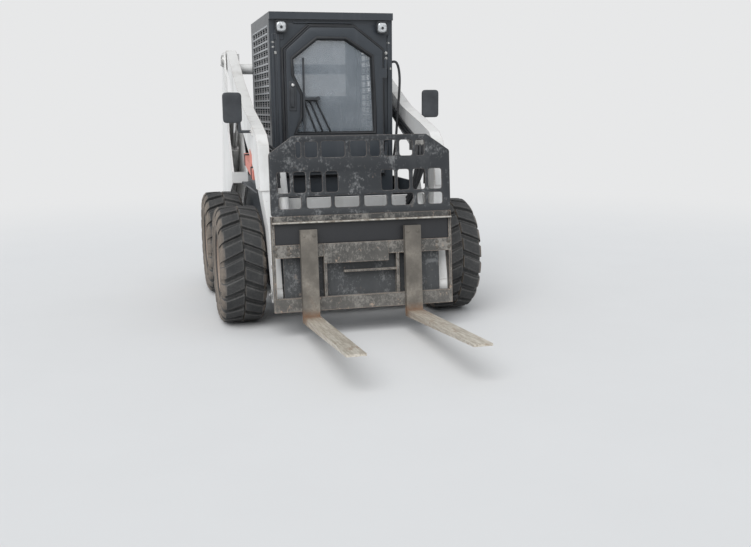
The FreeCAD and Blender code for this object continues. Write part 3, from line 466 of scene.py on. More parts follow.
def strip(name, points, radius, material, body, closed=True):
    """A round bead: a closed rubber seal along corners, or an oil line that bends smoothly past them."""
    data = bpy.data.curves.new(name, "CURVE")
    data.dimensions = "3D"
    data.bevel_depth, data.bevel_resolution = radius, 3
    line = data.splines.new("POLY" if closed else "NURBS")
    line.points.add(len(points) - 1)
    for point, spot in zip(line.points, points):
        point.co = (*spot, 1)
    line.use_cyclic_u, line.use_endpoint_u, line.order_u, line.resolution_u = closed, not closed, 3, 6
    data.materials.append(material)
    piece = bpy.data.objects.new(name, data)
    bpy.context.scene.collection.objects.link(piece)
    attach(piece, body)
    return piece


# %% [markdown]
# Much of a loader is plate with holes burnt through. Holes could be cut with booleans, but a filled
# curve does it in one step: an outline and its holes are drawn flat, the curve gives thickness and
# soft edges, and the mesh is then carried to its place.


# %% Cut plates
FLAT_FRONT = Matrix(((1, 0, 0, 0), (0, 0, -1, 0), (0, 1, 0, 0), (0, 0, 0, 1)))


def rounded(corners, radius, steps=4):
    """The same loop with an arc at each corner."""
    result = []
    for before, here, after in zip(corners[-1:] + corners[:-1], corners, corners[1:] + corners[:1]):
        here = Vector(here)
        back_line, on_line = Vector(before) - here, Vector(after) - here
        tangent = radius / math.tan(back_line.angle(on_line) / 2)
        reach = min(tangent, back_line.length * 0.45, on_line.length * 0.45)
        start, end = here + back_line.normalized() * reach, here + on_line.normalized() * reach
        for step in range(steps + 1):
            t = step / steps
            result.append(start * (1 - t) ** 2 + here * 2 * t * (1 - t) + end * t ** 2)
    return result


def rectangle(left, right_edge, low, high):
    """The four corners of an upright rectangle."""
    return [(left, low), (right_edge, low), (right_edge, high), (left, high)]


def cut_plate(mesh, outline, holes, near, far, place_at=Matrix(), soft=0.0015):
    """A plate across X and up Z between two places ahead (towards -Y), with holes through it."""
    data = bpy.data.curves.new("plate", "CURVE")
    data.dimensions, data.fill_mode = "2D", "BOTH"
    data.extrude, data.bevel_depth, data.bevel_resolution = abs(far - near) / 2 - soft, soft, 1
    data.offset = -soft
    for loop in [outline] + list(holes):
        line = data.splines.new("POLY")
        line.points.add(len(loop) - 1)
        for point, spot in zip(line.points, loop):
            point.co = (spot[0], spot[1], 0, 1)
        line.use_cyclic_u = True
    holder = bpy.data.objects.new("plate", data)
    bpy.context.scene.collection.objects.link(holder)
    flat = bpy.data.meshes.new_from_object(holder.evaluated_get(bpy.context.evaluated_depsgraph_get()))
    flat.transform(place_at @ Matrix.Translation((0, -(near + far) / 2, 0)) @ FLAT_FRONT)
    mesh.from_mesh(flat)
    bpy.data.objects.remove(holder)
    bpy.data.curves.remove(data)
    bpy.data.meshes.remove(flat)
    bmesh.ops.remove_doubles(mesh, verts=mesh.verts, dist=1e-6)


# %% [markdown]
# The tyres are the machine's roughest shape: a round casing and deep bars that slant out over the
# shoulder, left and right by turns. A bump map would leave their outline smooth, so the casing is
# turned and each bar is swept as real geometry.

# %% Tyres
TYRE_HALF = (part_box("tyre_front_left")[1].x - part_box("tyre_front_left")[0].x) / 2
TOP, CASING, BEAD = 0.370, 0.346, 0.2105
LUGS, SLANT = 20, math.radians(7.5)
BAR_ROOT, BAR_TOP, BAR_EDGE = math.radians(13.2), math.radians(11.4), 0.012
CASING_PROFILE = [
    # radius, out from the middle of the tread
    (BEAD, 0.117), (0.216, 0.127), (0.229, 0.1335), (0.237, 0.1335), (0.243, 0.1365), (0.267, 0.1390),
    (0.296, 0.1375), (0.303, 0.1335), (0.320, 0.1290), (0.336, 0.120), (0.344, 0.106), (CASING, 0.055)]


def turned(mesh, profile, steps=96):
    """A closed loop of (radius, across) corners turned about X."""
    rings = []
    for index in range(steps):
        angle = 2 * math.pi * index / steps
        rings.append([mesh.verts.new((across, radius * math.cos(angle), radius * math.sin(angle)))
                      for radius, across in profile])
    for ring, after in zip(rings, rings[1:] + rings[:1]):
        for i in range(len(profile)):
            j = (i + 1) % len(profile)
            mesh.faces.new((ring[i], ring[j], after[j], after[i]))


def tread_bar(mesh, angle, hand):
    """One tread bar, swept from near the middle of the tread over the shoulder."""
    # Each station: out from the middle, turned by, and the radius of the bar's foot and of its top
    stations = []
    for step in range(7):
        along = step / 6
        stations.append((0.005 + 0.107 * along, SLANT * along, CASING - 0.006, TOP - 0.004 * along ** 3))
    stations += [(0.128, SLANT * 1.12, CASING - 0.03, TOP - 0.020),
                 (TYRE_HALF - 0.0008, SLANT * 1.25, 0.292, TOP - 0.048),
                 (TYRE_HALF - 0.003, SLANT * 1.3, 0.284, 0.304)]
    rows = []
    for across, turn, low, high in stations:
        corners = [(low, -BAR_ROOT / 2), (high - 0.003, -BAR_TOP / 2), (high, -BAR_TOP / 2 + BAR_EDGE),
                   (high, 0.0),
                   (high, BAR_TOP / 2 - BAR_EDGE), (high - 0.003, BAR_TOP / 2), (low, BAR_ROOT / 2)]
        row = []
        for radius, aside in corners:
            around = angle + turn + aside
            row.append(mesh.verts.new((hand * across, radius * math.cos(around), radius * math.sin(around))))
        rows.append(row)
    for row, after in zip(rows, rows[1:]):
        for i in range(len(row)):
            j = (i + 1) % len(row)
            mesh.faces.new((row[i], row[j], after[j], after[i]))
    mesh.faces.new(rows[0])
    mesh.faces.new(rows[-1])


def tyre(name, body):
    """A casing with its bars and the raised rings of the side wall."""
    mesh = bmesh.new()
    turned(mesh, [(r, -a) for r, a in CASING_PROFILE] + [(r, a) for r, a in reversed(CASING_PROFILE)])
    for index in range(LUGS):
        angle = 2 * math.pi * index / LUGS
        tread_bar(mesh, angle, 1)
        tread_bar(mesh, angle + math.pi / LUGS, -1)
    for side in (-1, 1):
        for radius, wide in ((0.249, 0.0014), (0.289, 0.0012)):
            ring = [(radius - 0.002, side * 0.1360), (radius - 0.001, side * (0.1385 + wide / 2)),
                    (radius + 0.001, side * (0.1385 + wide / 2)), (radius + 0.002, side * 0.1360)]
            turned(mesh, ring)
    low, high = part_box(name)
    bmesh.ops.translate(mesh, vec=(low + high) / 2, verts=mesh.verts)
    piece = finished(name.replace("tyre", "treaded_tyre"), mesh, TYRE, body, replaces=(name,))


for corner in ("front_right", "front_left", "rear_right", "rear_left"):
    tyre("tyre_" + corner, "wheel_" + corner)

# %% [markdown]
# The rims are pressed steel: a barrel with turned-in lips, a dished disc, a hub with eight wheel nuts
# and a valve. One closed section is turned like the tyres', and mirrored for the right-hand wheels, so
# that the dish faces outwards on both sides.


# %% Rims
RIM_PROFILE = [
    # radius, out from the middle of the rim: round the pressed steel section
    (0.2095, 0.1175), (0.2095, -0.1175), (0.2025, -0.1175), (0.197, -0.098), (0.197, 0.018),
    (0.181, 0.029), (0.155, 0.031), (0.122, 0.026), (0.102, 0.030), (0.062, 0.030), (0.062, -0.058),
    (0.030, -0.058), (0.030, 0.062), (0.040, 0.0795), (0.057, 0.078), (0.062, 0.070), (0.063, 0.042),
    (0.098, 0.040), (0.122, 0.036), (0.155, 0.041), (0.185, 0.039), (0.1995, 0.055), (0.1995, 0.100),
    (0.204, 0.110), (0.206, 0.1175)]
WHEEL_NUTS, NUT_CIRCLE = 8, 0.082


def rim(name, body, side):
    """A pressed rim with its hub cap, nuts, studs and valve; side turns the dish outwards."""
    mesh = bmesh.new()
    turned(mesh, RIM_PROFILE, 72)
    bar(mesh, (0.050, 0, 0), (0.0775, 0, 0), 0.036, 32)
    for index in range(WHEEL_NUTS):
        angle = 2 * math.pi * (index + 0.5) / WHEEL_NUTS
        spot = (0.038, NUT_CIRCLE * math.cos(angle), NUT_CIRCLE * math.sin(angle))
        bolt(mesh, spot, (1, 0, 0), 0.011, 0.017)
        bar(mesh, (0.050, spot[1], spot[2]), (0.062, spot[1], spot[2]), 0.0055, 10)
    bar(mesh, (0.036, 0.168, 0.02), (0.060, 0.160, 0.02), 0.004, 8)
    if side < 0:
        bmesh.ops.scale(mesh, vec=(-1, 1, 1), verts=mesh.verts)
    low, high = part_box(name.replace("rim", "tyre"))
    bmesh.ops.translate(mesh, vec=(low + high) / 2, verts=mesh.verts)
    piece = finished(name.replace("rim", "pressed_rim"), mesh, RIM, body, 0.0006, replaces=(name,))


for corner in ("front_right", "front_left", "rear_right", "rear_left"):
    rim("rim_" + corner, "wheel_" + corner, 1 if corner.endswith("left") else -1)

# %% [markdown]
# The seat is two crowned pads with three sewn channels. A cushion could be sculpted or simulated, but
# a grid pulled into a pillow is exact: thick in the middle, thin at its rounded rim, and grooved.


# %% Seat pads
PAD_STEPS = 44
CHANNELS = (-0.62, 0.0, 0.62)


def pad(name, node, thin_axis):
    """A crowned cushion in the space of a CAD block; its thickness lies along thin_axis."""
    low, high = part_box(node)
    middle, half = (low + high) / 2, (high - low) / 2
    flat = [axis for axis in range(3) if axis != thin_axis]
    steps = PAD_STEPS
    mesh = bmesh.new()
    sheets = []
    for side in (-1, 1):
        rows = []
        for i in range(steps + 1):
            row = []
            for j in range(steps + 1):
                u, v = 2 * i / steps - 1, 2 * j / steps - 1
                edge = max(abs(u), abs(v))
                crown = (1 - edge ** 6) ** 0.5 if edge < 1 else 0.0
                groove = sum(math.exp(-((u - c) / 0.022) ** 2) for c in CHANNELS) if side > 0 else 0
                corner = 1 - 0.045 * (abs(u) * abs(v)) ** 4
                spot = [0.0, 0.0, 0.0]
                spot[flat[0]] = middle[flat[0]] + half[flat[0]] * u * corner * 0.995
                spot[flat[1]] = middle[flat[1]] + half[flat[1]] * v * corner * 0.995
                lift = side * half[thin_axis] * (0.30 + 0.68 * crown - 0.10 * groove * crown)
                spot[thin_axis] = middle[thin_axis] + (lift if thin_axis == 2 else -lift)
                row.append(mesh.verts.new(spot))
            rows.append(row)
        for i in range(steps):
            for j in range(steps):
                mesh.faces.new((rows[i][j], rows[i + 1][j], rows[i + 1][j + 1], rows[i][j + 1]))
        sheets.append(rows)
    rim_line = [(i, 0) for i in range(steps)] + [(steps, j) for j in range(steps)]
    rim_line += [(i, steps) for i in range(steps, 0, -1)] + [(0, j) for j in range(steps, 0, -1)]
    for (i, j), (k, m) in zip(rim_line, rim_line[1:] + rim_line[:1]):
        mesh.faces.new((sheets[0][i][j], sheets[0][k][m], sheets[1][k][m], sheets[1][i][j]))
    piece = finished(name, mesh, VINYL, "chassis", smooth=70, replaces=(node,))


pad("sewn_cushion", "seat_cushion", 2)
pad("sewn_backrest", "seat_backrest", 1)

# %% [markdown]
# The door stands in a thick rubber seal, and its pane sits in another. The loops below are the corners
# of the door and of its pane, seen from ahead, and everything round the door is grown from them.

# %% Door outlines
DOOR_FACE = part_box("door_frame")[0].y + 0.004
PANEL_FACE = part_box("cab_frame")[0].y
GLASS_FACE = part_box("door_glass")[0].y
DOOR_EDGE = [(-0.325, 0.90), (0.345, 0.90), (0.345, 1.718), (0.145, 1.868), (-0.155, 1.868), (-0.325, 1.718)]
PANE_EDGE = [(-0.270, 1.175), (0.286, 1.172), (0.283, 1.330), (0.268, 1.680), (0.086, 1.793), (-0.110, 1.794),
             (-0.279, 1.664), (-0.276, 1.558), (-0.218, 1.430), (-0.221, 1.284)]


def at_depth(outline, depth, grow=1.0):
    """The outline's corners at one depth, grown a little about its middle."""
    middle = Vector((sum(x for x, z in outline), sum(z for x, z in outline))) / len(outline)
    return [(middle.x + (x - middle.x) * grow, depth, middle.y + (z - middle.y) * grow) for x, z in outline]


print("door face at y", round(DOOR_FACE, 3), "and pane at y", round(GLASS_FACE, 3))

# %% [markdown]
# The door closes on a flat stop inside the cab's opening, and a raised band runs round its pane. Both
# are cut from sheet on the real machine, so both are cut plates here. The beads are round curves.

# %% Door stop, band and beads
mesh = bmesh.new()
stop_outer = rectangle(-0.376, 0.376, 0.91, 1.885)
stop_inner = [(x, z) for x, y, z in at_depth(DOOR_EDGE, 0, 0.90)]
cut_plate(mesh, stop_outer, [rounded(stop_inner, 0.05)], -(PANEL_FACE + 0.010), -(PANEL_FACE - 0.001))
finished("door_stop", mesh, DARK, "chassis")
mesh = bmesh.new()
band = [(x, z) for x, y, z in at_depth(DOOR_EDGE, 0, 0.968)]
cut_plate(mesh, rounded(band, 0.05), [rounded(PANE_EDGE, 0.03)], -(DOOR_FACE + 0.008), -DOOR_FACE, soft=0.003)
finished("door_band", mesh, DARK, "door")
strip("door_seal", at_depth(DOOR_EDGE, PANEL_FACE - 0.002, 1.018), 0.010, RUBBER, "chassis")
strip("door_edge_bead", at_depth(DOOR_EDGE, DOOR_FACE + 0.006, 0.992), 0.005, RUBBER, "door")
strip("pane_seal", at_depth(PANE_EDGE, DOOR_FACE + 0.003, 0.992), 0.011, RUBBER, "door")
strip("pane_inner_seal", at_depth(PANE_EDGE, GLASS_FACE - 0.002, 0.962), 0.007, RUBBER, "door")

# %% [markdown]
# The handle is a grip in a shallow cup, with the lock's round barrel above it. Blocks with softened
# edges are enough for moulded plastic of this size.

# %% Door handle and lock
LOCK_ACROSS, LOCK_UP = -0.276, 1.492
mesh = bmesh.new()
block(mesh, (-0.300, DOOR_FACE - 0.004, 1.325), (-0.252, DOOR_FACE + 0.002, 1.515))
block(mesh, (-0.291, DOOR_FACE - 0.012, 1.350), (-0.267, DOOR_FACE - 0.003, 1.470))
finished("door_handle", mesh, PLASTIC, "door", 0.004)
mesh = bmesh.new()
for front, back, radius in ((0.013, 0.003, 0.010), (0.015, 0.012, 0.006)):
    bar(mesh, (LOCK_ACROSS, DOOR_FACE - front, LOCK_UP), (LOCK_ACROSS, DOOR_FACE - back, LOCK_UP), radius, 24)
finished("door_lock", mesh, CHROME, "door", 0.001)

# %% [markdown]
# The wiper swings on three thin links that come up from the pane's foot to a small cross piece.

# %% Wiper links
LINK_SPANS = [((-0.200, 1.394), (-0.119, 1.175)), ((-0.165, 1.398), (-0.073, 1.175)),
              ((-0.125, 1.398), (-0.019, 1.175))]
CROSS_UP = 1.397
mesh = bmesh.new()
for start, end in LINK_SPANS:
    bar(mesh, (start[0], GLASS_FACE - 0.010, start[1]), (end[0], GLASS_FACE - 0.010, end[1]), 0.0055, 12)
bar(mesh, (-0.205, GLASS_FACE - 0.012, CROSS_UP), (-0.110, GLASS_FACE - 0.012, CROSS_UP), 0.009, 12)
for across in (-0.165, -0.120):
    bar(mesh, (across, GLASS_FACE - 0.024, CROSS_UP), (across, GLASS_FACE - 0.001, CROSS_UP), 0.014, 20)
finished("wiper_links", mesh, RUBBER, "door", 0.001)

# %% [markdown]
# The cab's posts are folded sheet with proud strips, and bolts hold the hinges and the front corners.

# %% Post folds and bolts
mesh = bmesh.new()
for left, right_edge in ((-0.400, -0.384), (-0.368, -0.346), (0.380, 0.396)):
    block(mesh, (left, PANEL_FACE - 0.009, 0.93), (right_edge, PANEL_FACE + 0.002, 1.818))
block(mesh, (-0.255, PANEL_FACE - 0.010, 1.885), (0.135, PANEL_FACE + 0.002, 1.897))
block(mesh, (-0.385, PANEL_FACE - 0.005, 1.780), (-0.320, PANEL_FACE + 0.001, 1.822))
finished("post_folds", mesh, DARK, "chassis", 0.004)
mesh = bmesh.new()
POST_BOLTS = [(0.388, 1.765), (0.372, 1.700), (0.372, 1.665), (0.400, 1.600), (-0.392, 1.765),
              (-0.392, 1.735), (-0.376, 1.70)]
for across, up in POST_BOLTS:
    bolt(mesh, (across, PANEL_FACE - 0.001, up), (0, -1, 0), 0.007, 0.009)
for across in (-0.40, 0.40):
    for up in (0.70, 0.85, 1.00, 1.12):
        bolt(mesh, (across, PANEL_FACE + 0.012, up), (0, -1, 0), 0.007, 0.008)
finished("cab_bolts", mesh, BOLT, "chassis", 0.0006)

# %% [markdown]
# A lamp is a rubber bezel round a bulged lens, with a dark bulb in its middle. A scaled sphere could be
# the lens, but this one is nearly square, so it is a square grid pulled into a dome.


# %% Lamps
LENS_SHARE = 0.84


def lamp(index, low, high):
    """A rounded square lamp whose lens bulges towards -Y."""
    face = low.y
    middle = ((low.x + high.x) / 2, (low.z + high.z) / 2)
    half = (high.x - low.x) / 2
    mesh = bmesh.new()
    steps = 16
    grid = []
    for i in range(steps + 1):
        for j in range(steps + 1):
            u, v = 2 * i / steps - 1, 2 * j / steps - 1
            pull = 1 - 0.24 * (u * v) ** 2
            bulge = 0.010 * (1 - u ** 4) * (1 - v ** 4) + 0.0012 * math.sin(u * 22)
            reach = half * LENS_SHARE * pull
            grid.append(mesh.verts.new((middle[0] + reach * u, face - bulge, middle[1] + reach * v)))
    for i in range(steps):
        for j in range(steps):
            a = i * (steps + 1) + j
            mesh.faces.new((grid[a], grid[a + 1], grid[a + steps + 2], grid[a + steps + 1]))
    finished("lamp_lens_%d" % index, mesh, LENS, "chassis", smooth=60)
    mesh = bmesh.new()
    square = rectangle(middle[0] - half, middle[0] + half, middle[1] - half, middle[1] + half)
    opening = [[m + (place - m) * LENS_SHARE for place, m in zip(spot, middle)] for spot in square]
    holes = [rounded(opening, 0.020, 6)]
    cut_plate(mesh, rounded(square, 0.022, 6), holes, -face - 0.003, -face + 0.008, soft=0.002)
    bulb = middle[1] - 0.004
    bar(mesh, (middle[0], face - 0.012, bulb), (middle[0], face - 0.002, bulb), 0.009, 16)
    finished("lamp_bezel_%d" % index, mesh, RUBBER, "chassis")


lamp_low, lamp_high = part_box("head_lamps")
LAMP_WIDE = lamp_high.z - lamp_low.z
for index, left in enumerate((lamp_low.x, lamp_high.x - LAMP_WIDE)):
    lamp(index, Vector((left, lamp_low.y, lamp_low.z)), Vector((left + LAMP_WIDE, lamp_low.y, lamp_high.z)))

# %% [markdown]
# Welded wires close the gaps between the ladder bars of the cab's sides: many thin ones lie level, and
# a few stand upright across them. A picture with holes could stand for the mesh, but wires drawn as
# long blocks keep their thickness when they are seen from the side.

# %% Side mesh
UPRIGHT_STEP, LEVEL_STEP = 0.128, 0.0162
UPRIGHT_HALF, UPRIGHT_DEEP, LEVEL_HALF, LEVEL_DEEP = 0.0030, 0.0065, 0.0011, 0.0013
SIDE_RIM = 0.004
for side, node in ((-1, "side_grille_right"), (1, "side_grille_left")):
    low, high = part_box(node)
    inner = low.x + 0.0005 if side > 0 else high.x - 0.0005
    mesh = bmesh.new()
    for index in range(1, int((high.y - low.y) / UPRIGHT_STEP)):
        along = low.y + index * UPRIGHT_STEP
        block(mesh, (inner + side * 0.0005, along - UPRIGHT_HALF, low.z + SIDE_RIM),
              (inner + side * UPRIGHT_DEEP, along + UPRIGHT_HALF, high.z - SIDE_RIM))
    for index in range(1, int((high.z - low.z) / LEVEL_STEP)):
        level_up = low.z + index * LEVEL_STEP
        block(mesh, (inner - side * LEVEL_DEEP, low.y + SIDE_RIM, level_up - LEVEL_HALF),
              (inner, high.y - SIDE_RIM, level_up + LEVEL_HALF))
    finished("side_mesh_left" if side > 0 else "side_mesh_right", mesh, GRILLE, "chassis")

# %% [markdown]
# The mirrors face the driver: each has a rounded shell on a bent round stay, a glass pane on its rear
# face, and a clamp where the stay meets the arm.

# %% Mirrors
HEAD_TALL, HEAD_HALF, PANE_HALF = 0.184, 0.058, 0.050
STAY_RADIUS = 0.009
for side, node in ((-1, "mirror_right"), (1, "mirror_left")):
    low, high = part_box(node)
    inner = low.x if side > 0 else high.x
    along = (low.y + high.y) / 2
    head_low = high.z - HEAD_TALL
    middle = high.x - HEAD_HALF if side > 0 else low.x + HEAD_HALF
    mesh = bmesh.new()
    head = rectangle(middle - HEAD_HALF, middle + HEAD_HALF, head_low, high.z)
    cut_plate(mesh, rounded(head, 0.026, 6), [], -high.y + 0.001, -low.y, soft=0.006)
    stay_up, stem = low.z + 0.010, middle + side * -0.040
    bar(mesh, (inner, along, stay_up), (stem, along, stay_up), STAY_RADIUS, 16)
    bar(mesh, (stem, along, stay_up - 0.008), (stem, along, head_low + 0.02), STAY_RADIUS, 16)
    finished(node + "_shell", mesh, PLASTIC, "lift_arm", replaces=(node,))
    mesh = bmesh.new()
    pane = rectangle(middle - PANE_HALF, middle + PANE_HALF, head_low + 0.010, high.z - 0.010)
    cut_plate(mesh, rounded(pane, 0.02, 6), [], -high.y, -high.y + 0.003, soft=0.0005)
    finished(node + "_pane", mesh, CHROME, "lift_arm")
    mesh = bmesh.new()
    block(mesh, (inner - 0.001 if side > 0 else inner - 0.008, low.y - 0.012, low.z - 0.016),
          (inner + 0.008 if side > 0 else inner + 0.001, high.y + 0.012, low.z + 0.034))
    for apart in (-0.020, 0.020):
        bolt(mesh, (inner + side * 0.008, along + apart, low.z + 0.010), (side, 0, 0), 0.006, 0.008)
    finished(node + "_clamp", mesh, WHITE, "lift_arm", 0.002)

# %% [markdown]
# The fork carriage leans back about its hinge pin. Its small pieces could be turned one by one, but
# they are easier to place upright, and one matrix then carries them all to where the carriage stands.

# %% Carriage place
joints = {joint["name"]: joint for joint in frame["joints"]}
hinge, pivot = Vector(joints["tilt"]["pos_m"]), Vector(joints["lift"]["pos_m"])
LEAN = math.radians(5.3)
CARRIAGE = Matrix.Translation(hinge) @ Matrix.Rotation(-LEAN, 4, "X")
FRAME_FACE = 0.115
HALF = 0.552
LOW_BAR, UPPER_BAR = (-0.100, -0.020), (0.222, 0.298)
FORK_LINES = (-0.340, 0.296)
FOOT, LIP_UP, PLATE = 0.4653, 0.421, 0.010
print("carriage hinge at", tuple(round(value, 3) for value in hinge))

# %% [markdown]
# The backrest keeps a load from sliding onto the driver. On the real machine it is one plate with three
# rows of windows burnt out, so here it is one cut plate, and the table holds the windows' edges.

# %% Backrest with its windows
SHOULDER, CREST, INSET = 0.830, 0.930, 0.145
WINDOW_ROWS = [
    # lowest and highest edge of a row of windows, then where each one starts and ends across
    (0.509, 0.579, [(-0.502, -0.371), (-0.336, -0.191), (-0.168, -0.019), (0.012, 0.150), (0.181, 0.316),
                    (0.343, 0.390), (0.414, 0.502)]),
    (0.600, 0.722, [(-0.508, -0.432), (-0.411, -0.339), (-0.312, -0.241), (-0.219, -0.146), (0.120, 0.202),
                    (0.223, 0.294), (0.317, 0.393), (0.415, 0.499)]),
    (0.803, 0.897, [(-0.392, -0.361), (-0.337, -0.262), (-0.239, -0.098), (-0.065, 0.033), (0.055, 0.117),
                    (0.140, 0.215), (0.238, 0.318), (0.339, 0.392)])]
windows = []
for low, high, spans in WINDOW_ROWS:
    for left, right_edge in spans:
        windows.append(rounded(rectangle(left, right_edge, low, high), 0.016))
mesh = bmesh.new()
outline = [(-HALF, FOOT), (HALF, FOOT), (HALF, SHOULDER), (HALF - INSET, CREST), (-HALF + INSET, CREST),
           (-HALF, SHOULDER)]
cut_plate(mesh, rounded(outline, 0.02), windows, FRAME_FACE - PLATE, FRAME_FACE, CARRIAGE, 0.0025)
finished("windowed_backrest", mesh, SCREEN, "carriage", replaces=("backrest",))

# %% [markdown]
# Below the backrest a smooth plate closes the frame, ending in a bent lip that loads have rubbed
# bright. The posts, the ledge and the doubling plate stand between the two bars.

# %% Fork frame plates
LIP_WALL, LIP_REACH = 0.009, 0.022
POST_WIDE, POST_DEEP, POST_LEFT = 0.018, 0.045, 0.199
OVERLAY_LEFT = -0.249
mesh = bmesh.new()
skirt = rectangle(-HALF + 0.016, HALF - 0.016, UPPER_BAR[1], FOOT)
cut_plate(mesh, skirt, [], FRAME_FACE - 0.016, FRAME_FACE - 0.006, CARRIAGE)
finished("skirt_plate", mesh, BLACK, "carriage")
mesh = bmesh.new()
block(mesh, (-HALF, -FRAME_FACE - LIP_REACH, LIP_UP), (HALF, -FRAME_FACE + 0.012, LIP_UP + LIP_WALL),
      CARRIAGE)
block(mesh, (-HALF, -FRAME_FACE, LIP_UP), (HALF, -FRAME_FACE + PLATE, FOOT), CARRIAGE)
finished("lip_plate", mesh, WORN, "carriage", 0.002)
mesh = bmesh.new()
edge_ahead, edge_up = -FRAME_FACE - 0.021, LIP_UP + 0.0055
bar(mesh, (-HALF + 0.004, edge_ahead, edge_up), (HALF - 0.004, edge_ahead, edge_up), 0.0052, 10, CARRIAGE)
finished("worn_lip", mesh, BARE, "carriage")
mesh = bmesh.new()
block(mesh, (OVERLAY_LEFT, -FRAME_FACE - 0.008, 0.179), (0.150, -FRAME_FACE + 0.002, 0.298), CARRIAGE)
for left in (OVERLAY_LEFT, POST_LEFT):
    block(mesh, (left, -FRAME_FACE, LOW_BAR[1] - 0.002),
          (left + POST_WIDE, -FRAME_FACE + POST_DEEP, UPPER_BAR[0] + 0.002), CARRIAGE)
block(mesh, (-0.125, -FRAME_FACE, 0.121), (POST_LEFT, -FRAME_FACE + POST_DEEP, 0.133), CARRIAGE)
finished("frame_posts", mesh, WORN, "carriage", 0.002)

# %% [markdown]
# The forks hang on hooks over the upper bar and are held in under the low one, and bolts close the
# frame's corners. They are blocks and bolts in one mesh, as steel as the forks.

# %% Fork hooks and frame bolts
HOOK_HALF = 0.047
mesh = bmesh.new()
for across in (-0.535, -0.46, 0.46, 0.535):
    for up in (0.243, 0.278):
        bolt(mesh, (across, -FRAME_FACE, up), (0, -1, 0), 0.007, 0.006, CARRIAGE)
for line in FORK_LINES:
    for across in (-0.030, 0.030):
        bolt(mesh, (line + across, -FRAME_FACE - 0.040, 0.352), (0, -1, 0), 0.008, 0.005, CARRIAGE)
    block(mesh, (line - HOOK_HALF, -FRAME_FACE - 0.020, UPPER_BAR[1] + 0.0005),
          (line + HOOK_HALF, -FRAME_FACE + 0.012, UPPER_BAR[1] + 0.013), CARRIAGE)
    block(mesh, (line - HOOK_HALF, -FRAME_FACE - 0.012, LOW_BAR[0] - 0.016),
          (line + HOOK_HALF, -FRAME_FACE + 0.012, LOW_BAR[0] - 0.0005), CARRIAGE)
finished("carriage_hooks", mesh, FORK, "carriage", 0.001)

# %% [markdown]
# The pins that the arms and the carriage turn on end in a cap with keeper bolts, so that they cannot
# walk out. The joints of the frame say where they are, so the caps are placed from the joints.

# %% Pin caps
HINGE_CAP, PIVOT_CAP = 0.559, 0.622
mesh = bmesh.new()
for side in (-1, 1):
    bar(mesh, (side * 0.5535, hinge.y, hinge.z), (side * HINGE_CAP, hinge.y, hinge.z), 0.030, 24)
    bolt(mesh, (side * HINGE_CAP, hinge.y, hinge.z), (side, 0, 0), 0.010, 0.008)
finished("hinge_pin_caps", mesh, BOLT, "carriage", 0.001)
mesh = bmesh.new()
for side in (-1, 1):
    bar(mesh, (side * 0.609, pivot.y, pivot.z), (side * PIVOT_CAP, pivot.y, pivot.z), 0.046, 40)
    bar(mesh, (side * PIVOT_CAP, pivot.y, pivot.z), (side * 0.626, pivot.y, pivot.z), 0.034, 32)
    for along, keeper_up in ((-0.03, 0.028), (0.03, -0.028)):
        bolt(mesh, (side * PIVOT_CAP, pivot.y + along, pivot.z + keeper_up), (side, 0, 0), 0.006, 0.007)
finished("pivot_pin_caps", mesh, BOLT, "chassis", 0.001)

# %% [markdown]
# Lines carry the oil along the inner face of each arm, and short ones go on to the tilt cylinders. A
# mesh tube could be built, but a curve with a round bevel needs only the points that it passes.

# %% Oil lines on the arms
ARM_ROUTE = [(-0.300, 1.120), (-0.180, 1.125), (0.000, 1.165), (0.286, 1.265), (0.600, 1.390),
             (0.960, 1.545), (1.150, 1.625)]
ARM_INNER, LINE_OUT, LINE_STEP = 0.516, 0.012, 0.026
ARM_LINE, TILT_LINE = 0.0085, 0.0095
for side in (-1, 1):
    hand = "left" if side > 0 else "right"
    for index in range(3):
        drop, aside = LINE_STEP * index, ARM_INNER - LINE_OUT
        route = [(side * (aside - 0.03), -0.340, 1.100 - drop)]
        route += [(side * aside, along, height - drop) for along, height in ARM_ROUTE]
        strip("arm_line_%s_%d" % (hand, index), route, ARM_LINE, RUBBER, "lift_arm", False)
    for index in range(2):
        route = [(side * 0.480, -0.330, 1.098 - 0.02 * index), (side * 0.470, -0.365, 1.070),
                 (side * 0.468, -0.385, 1.000), (side * 0.462, -0.400, 0.930 - 0.06 * index)]
        strip("tilt_line_%s_%d" % (hand, index), route, TILT_LINE, RUBBER, "lift_arm", False)
print("ten lines on the arms")

# %% [markdown]
# Three hoses drop from the quick couplers to the cross beam. They pass inside the left tilt cylinder
# and stay clear of the open door. One more line loops out from the cab's left post and back.

# %% Coupler hoses and post line
HOSE, HOSE_STEP = 0.0105, 0.0215
POST_ROUTE = [(0.412, 0.190, 1.640), (0.440, 0.176, 1.655), (0.462, 0.168, 1.600), (0.468, 0.168, 1.500),
              (0.452, 0.175, 1.300), (0.440, 0.185, 1.080), (0.425, 0.215, 0.950)]
for index in range(3):
    apart = HOSE_STEP * index
    route = [(0.420 + apart, -0.368, 1.105), (0.410 + apart, -0.402, 1.080), (0.401 + apart, -0.418, 1.010),
             (0.397 + apart, -0.424, 0.950), (0.373 + apart * 0.2, -0.424, 0.862 - apart),
             (0.373, -0.376, 0.806 - apart), (0.373, -0.306, 0.776 - apart)]
    strip("coupler_hose_%d" % index, route, HOSE, RUBBER, "lift_arm", False)
strip("post_line", POST_ROUTE, 0.0085, RUBBER, "chassis", False)
print("three hoses and a post line")

# %% [markdown]
# The red strut under the right arm locks the lifted arms for repairs. A black spring clip near each
# end holds it while it is stowed.

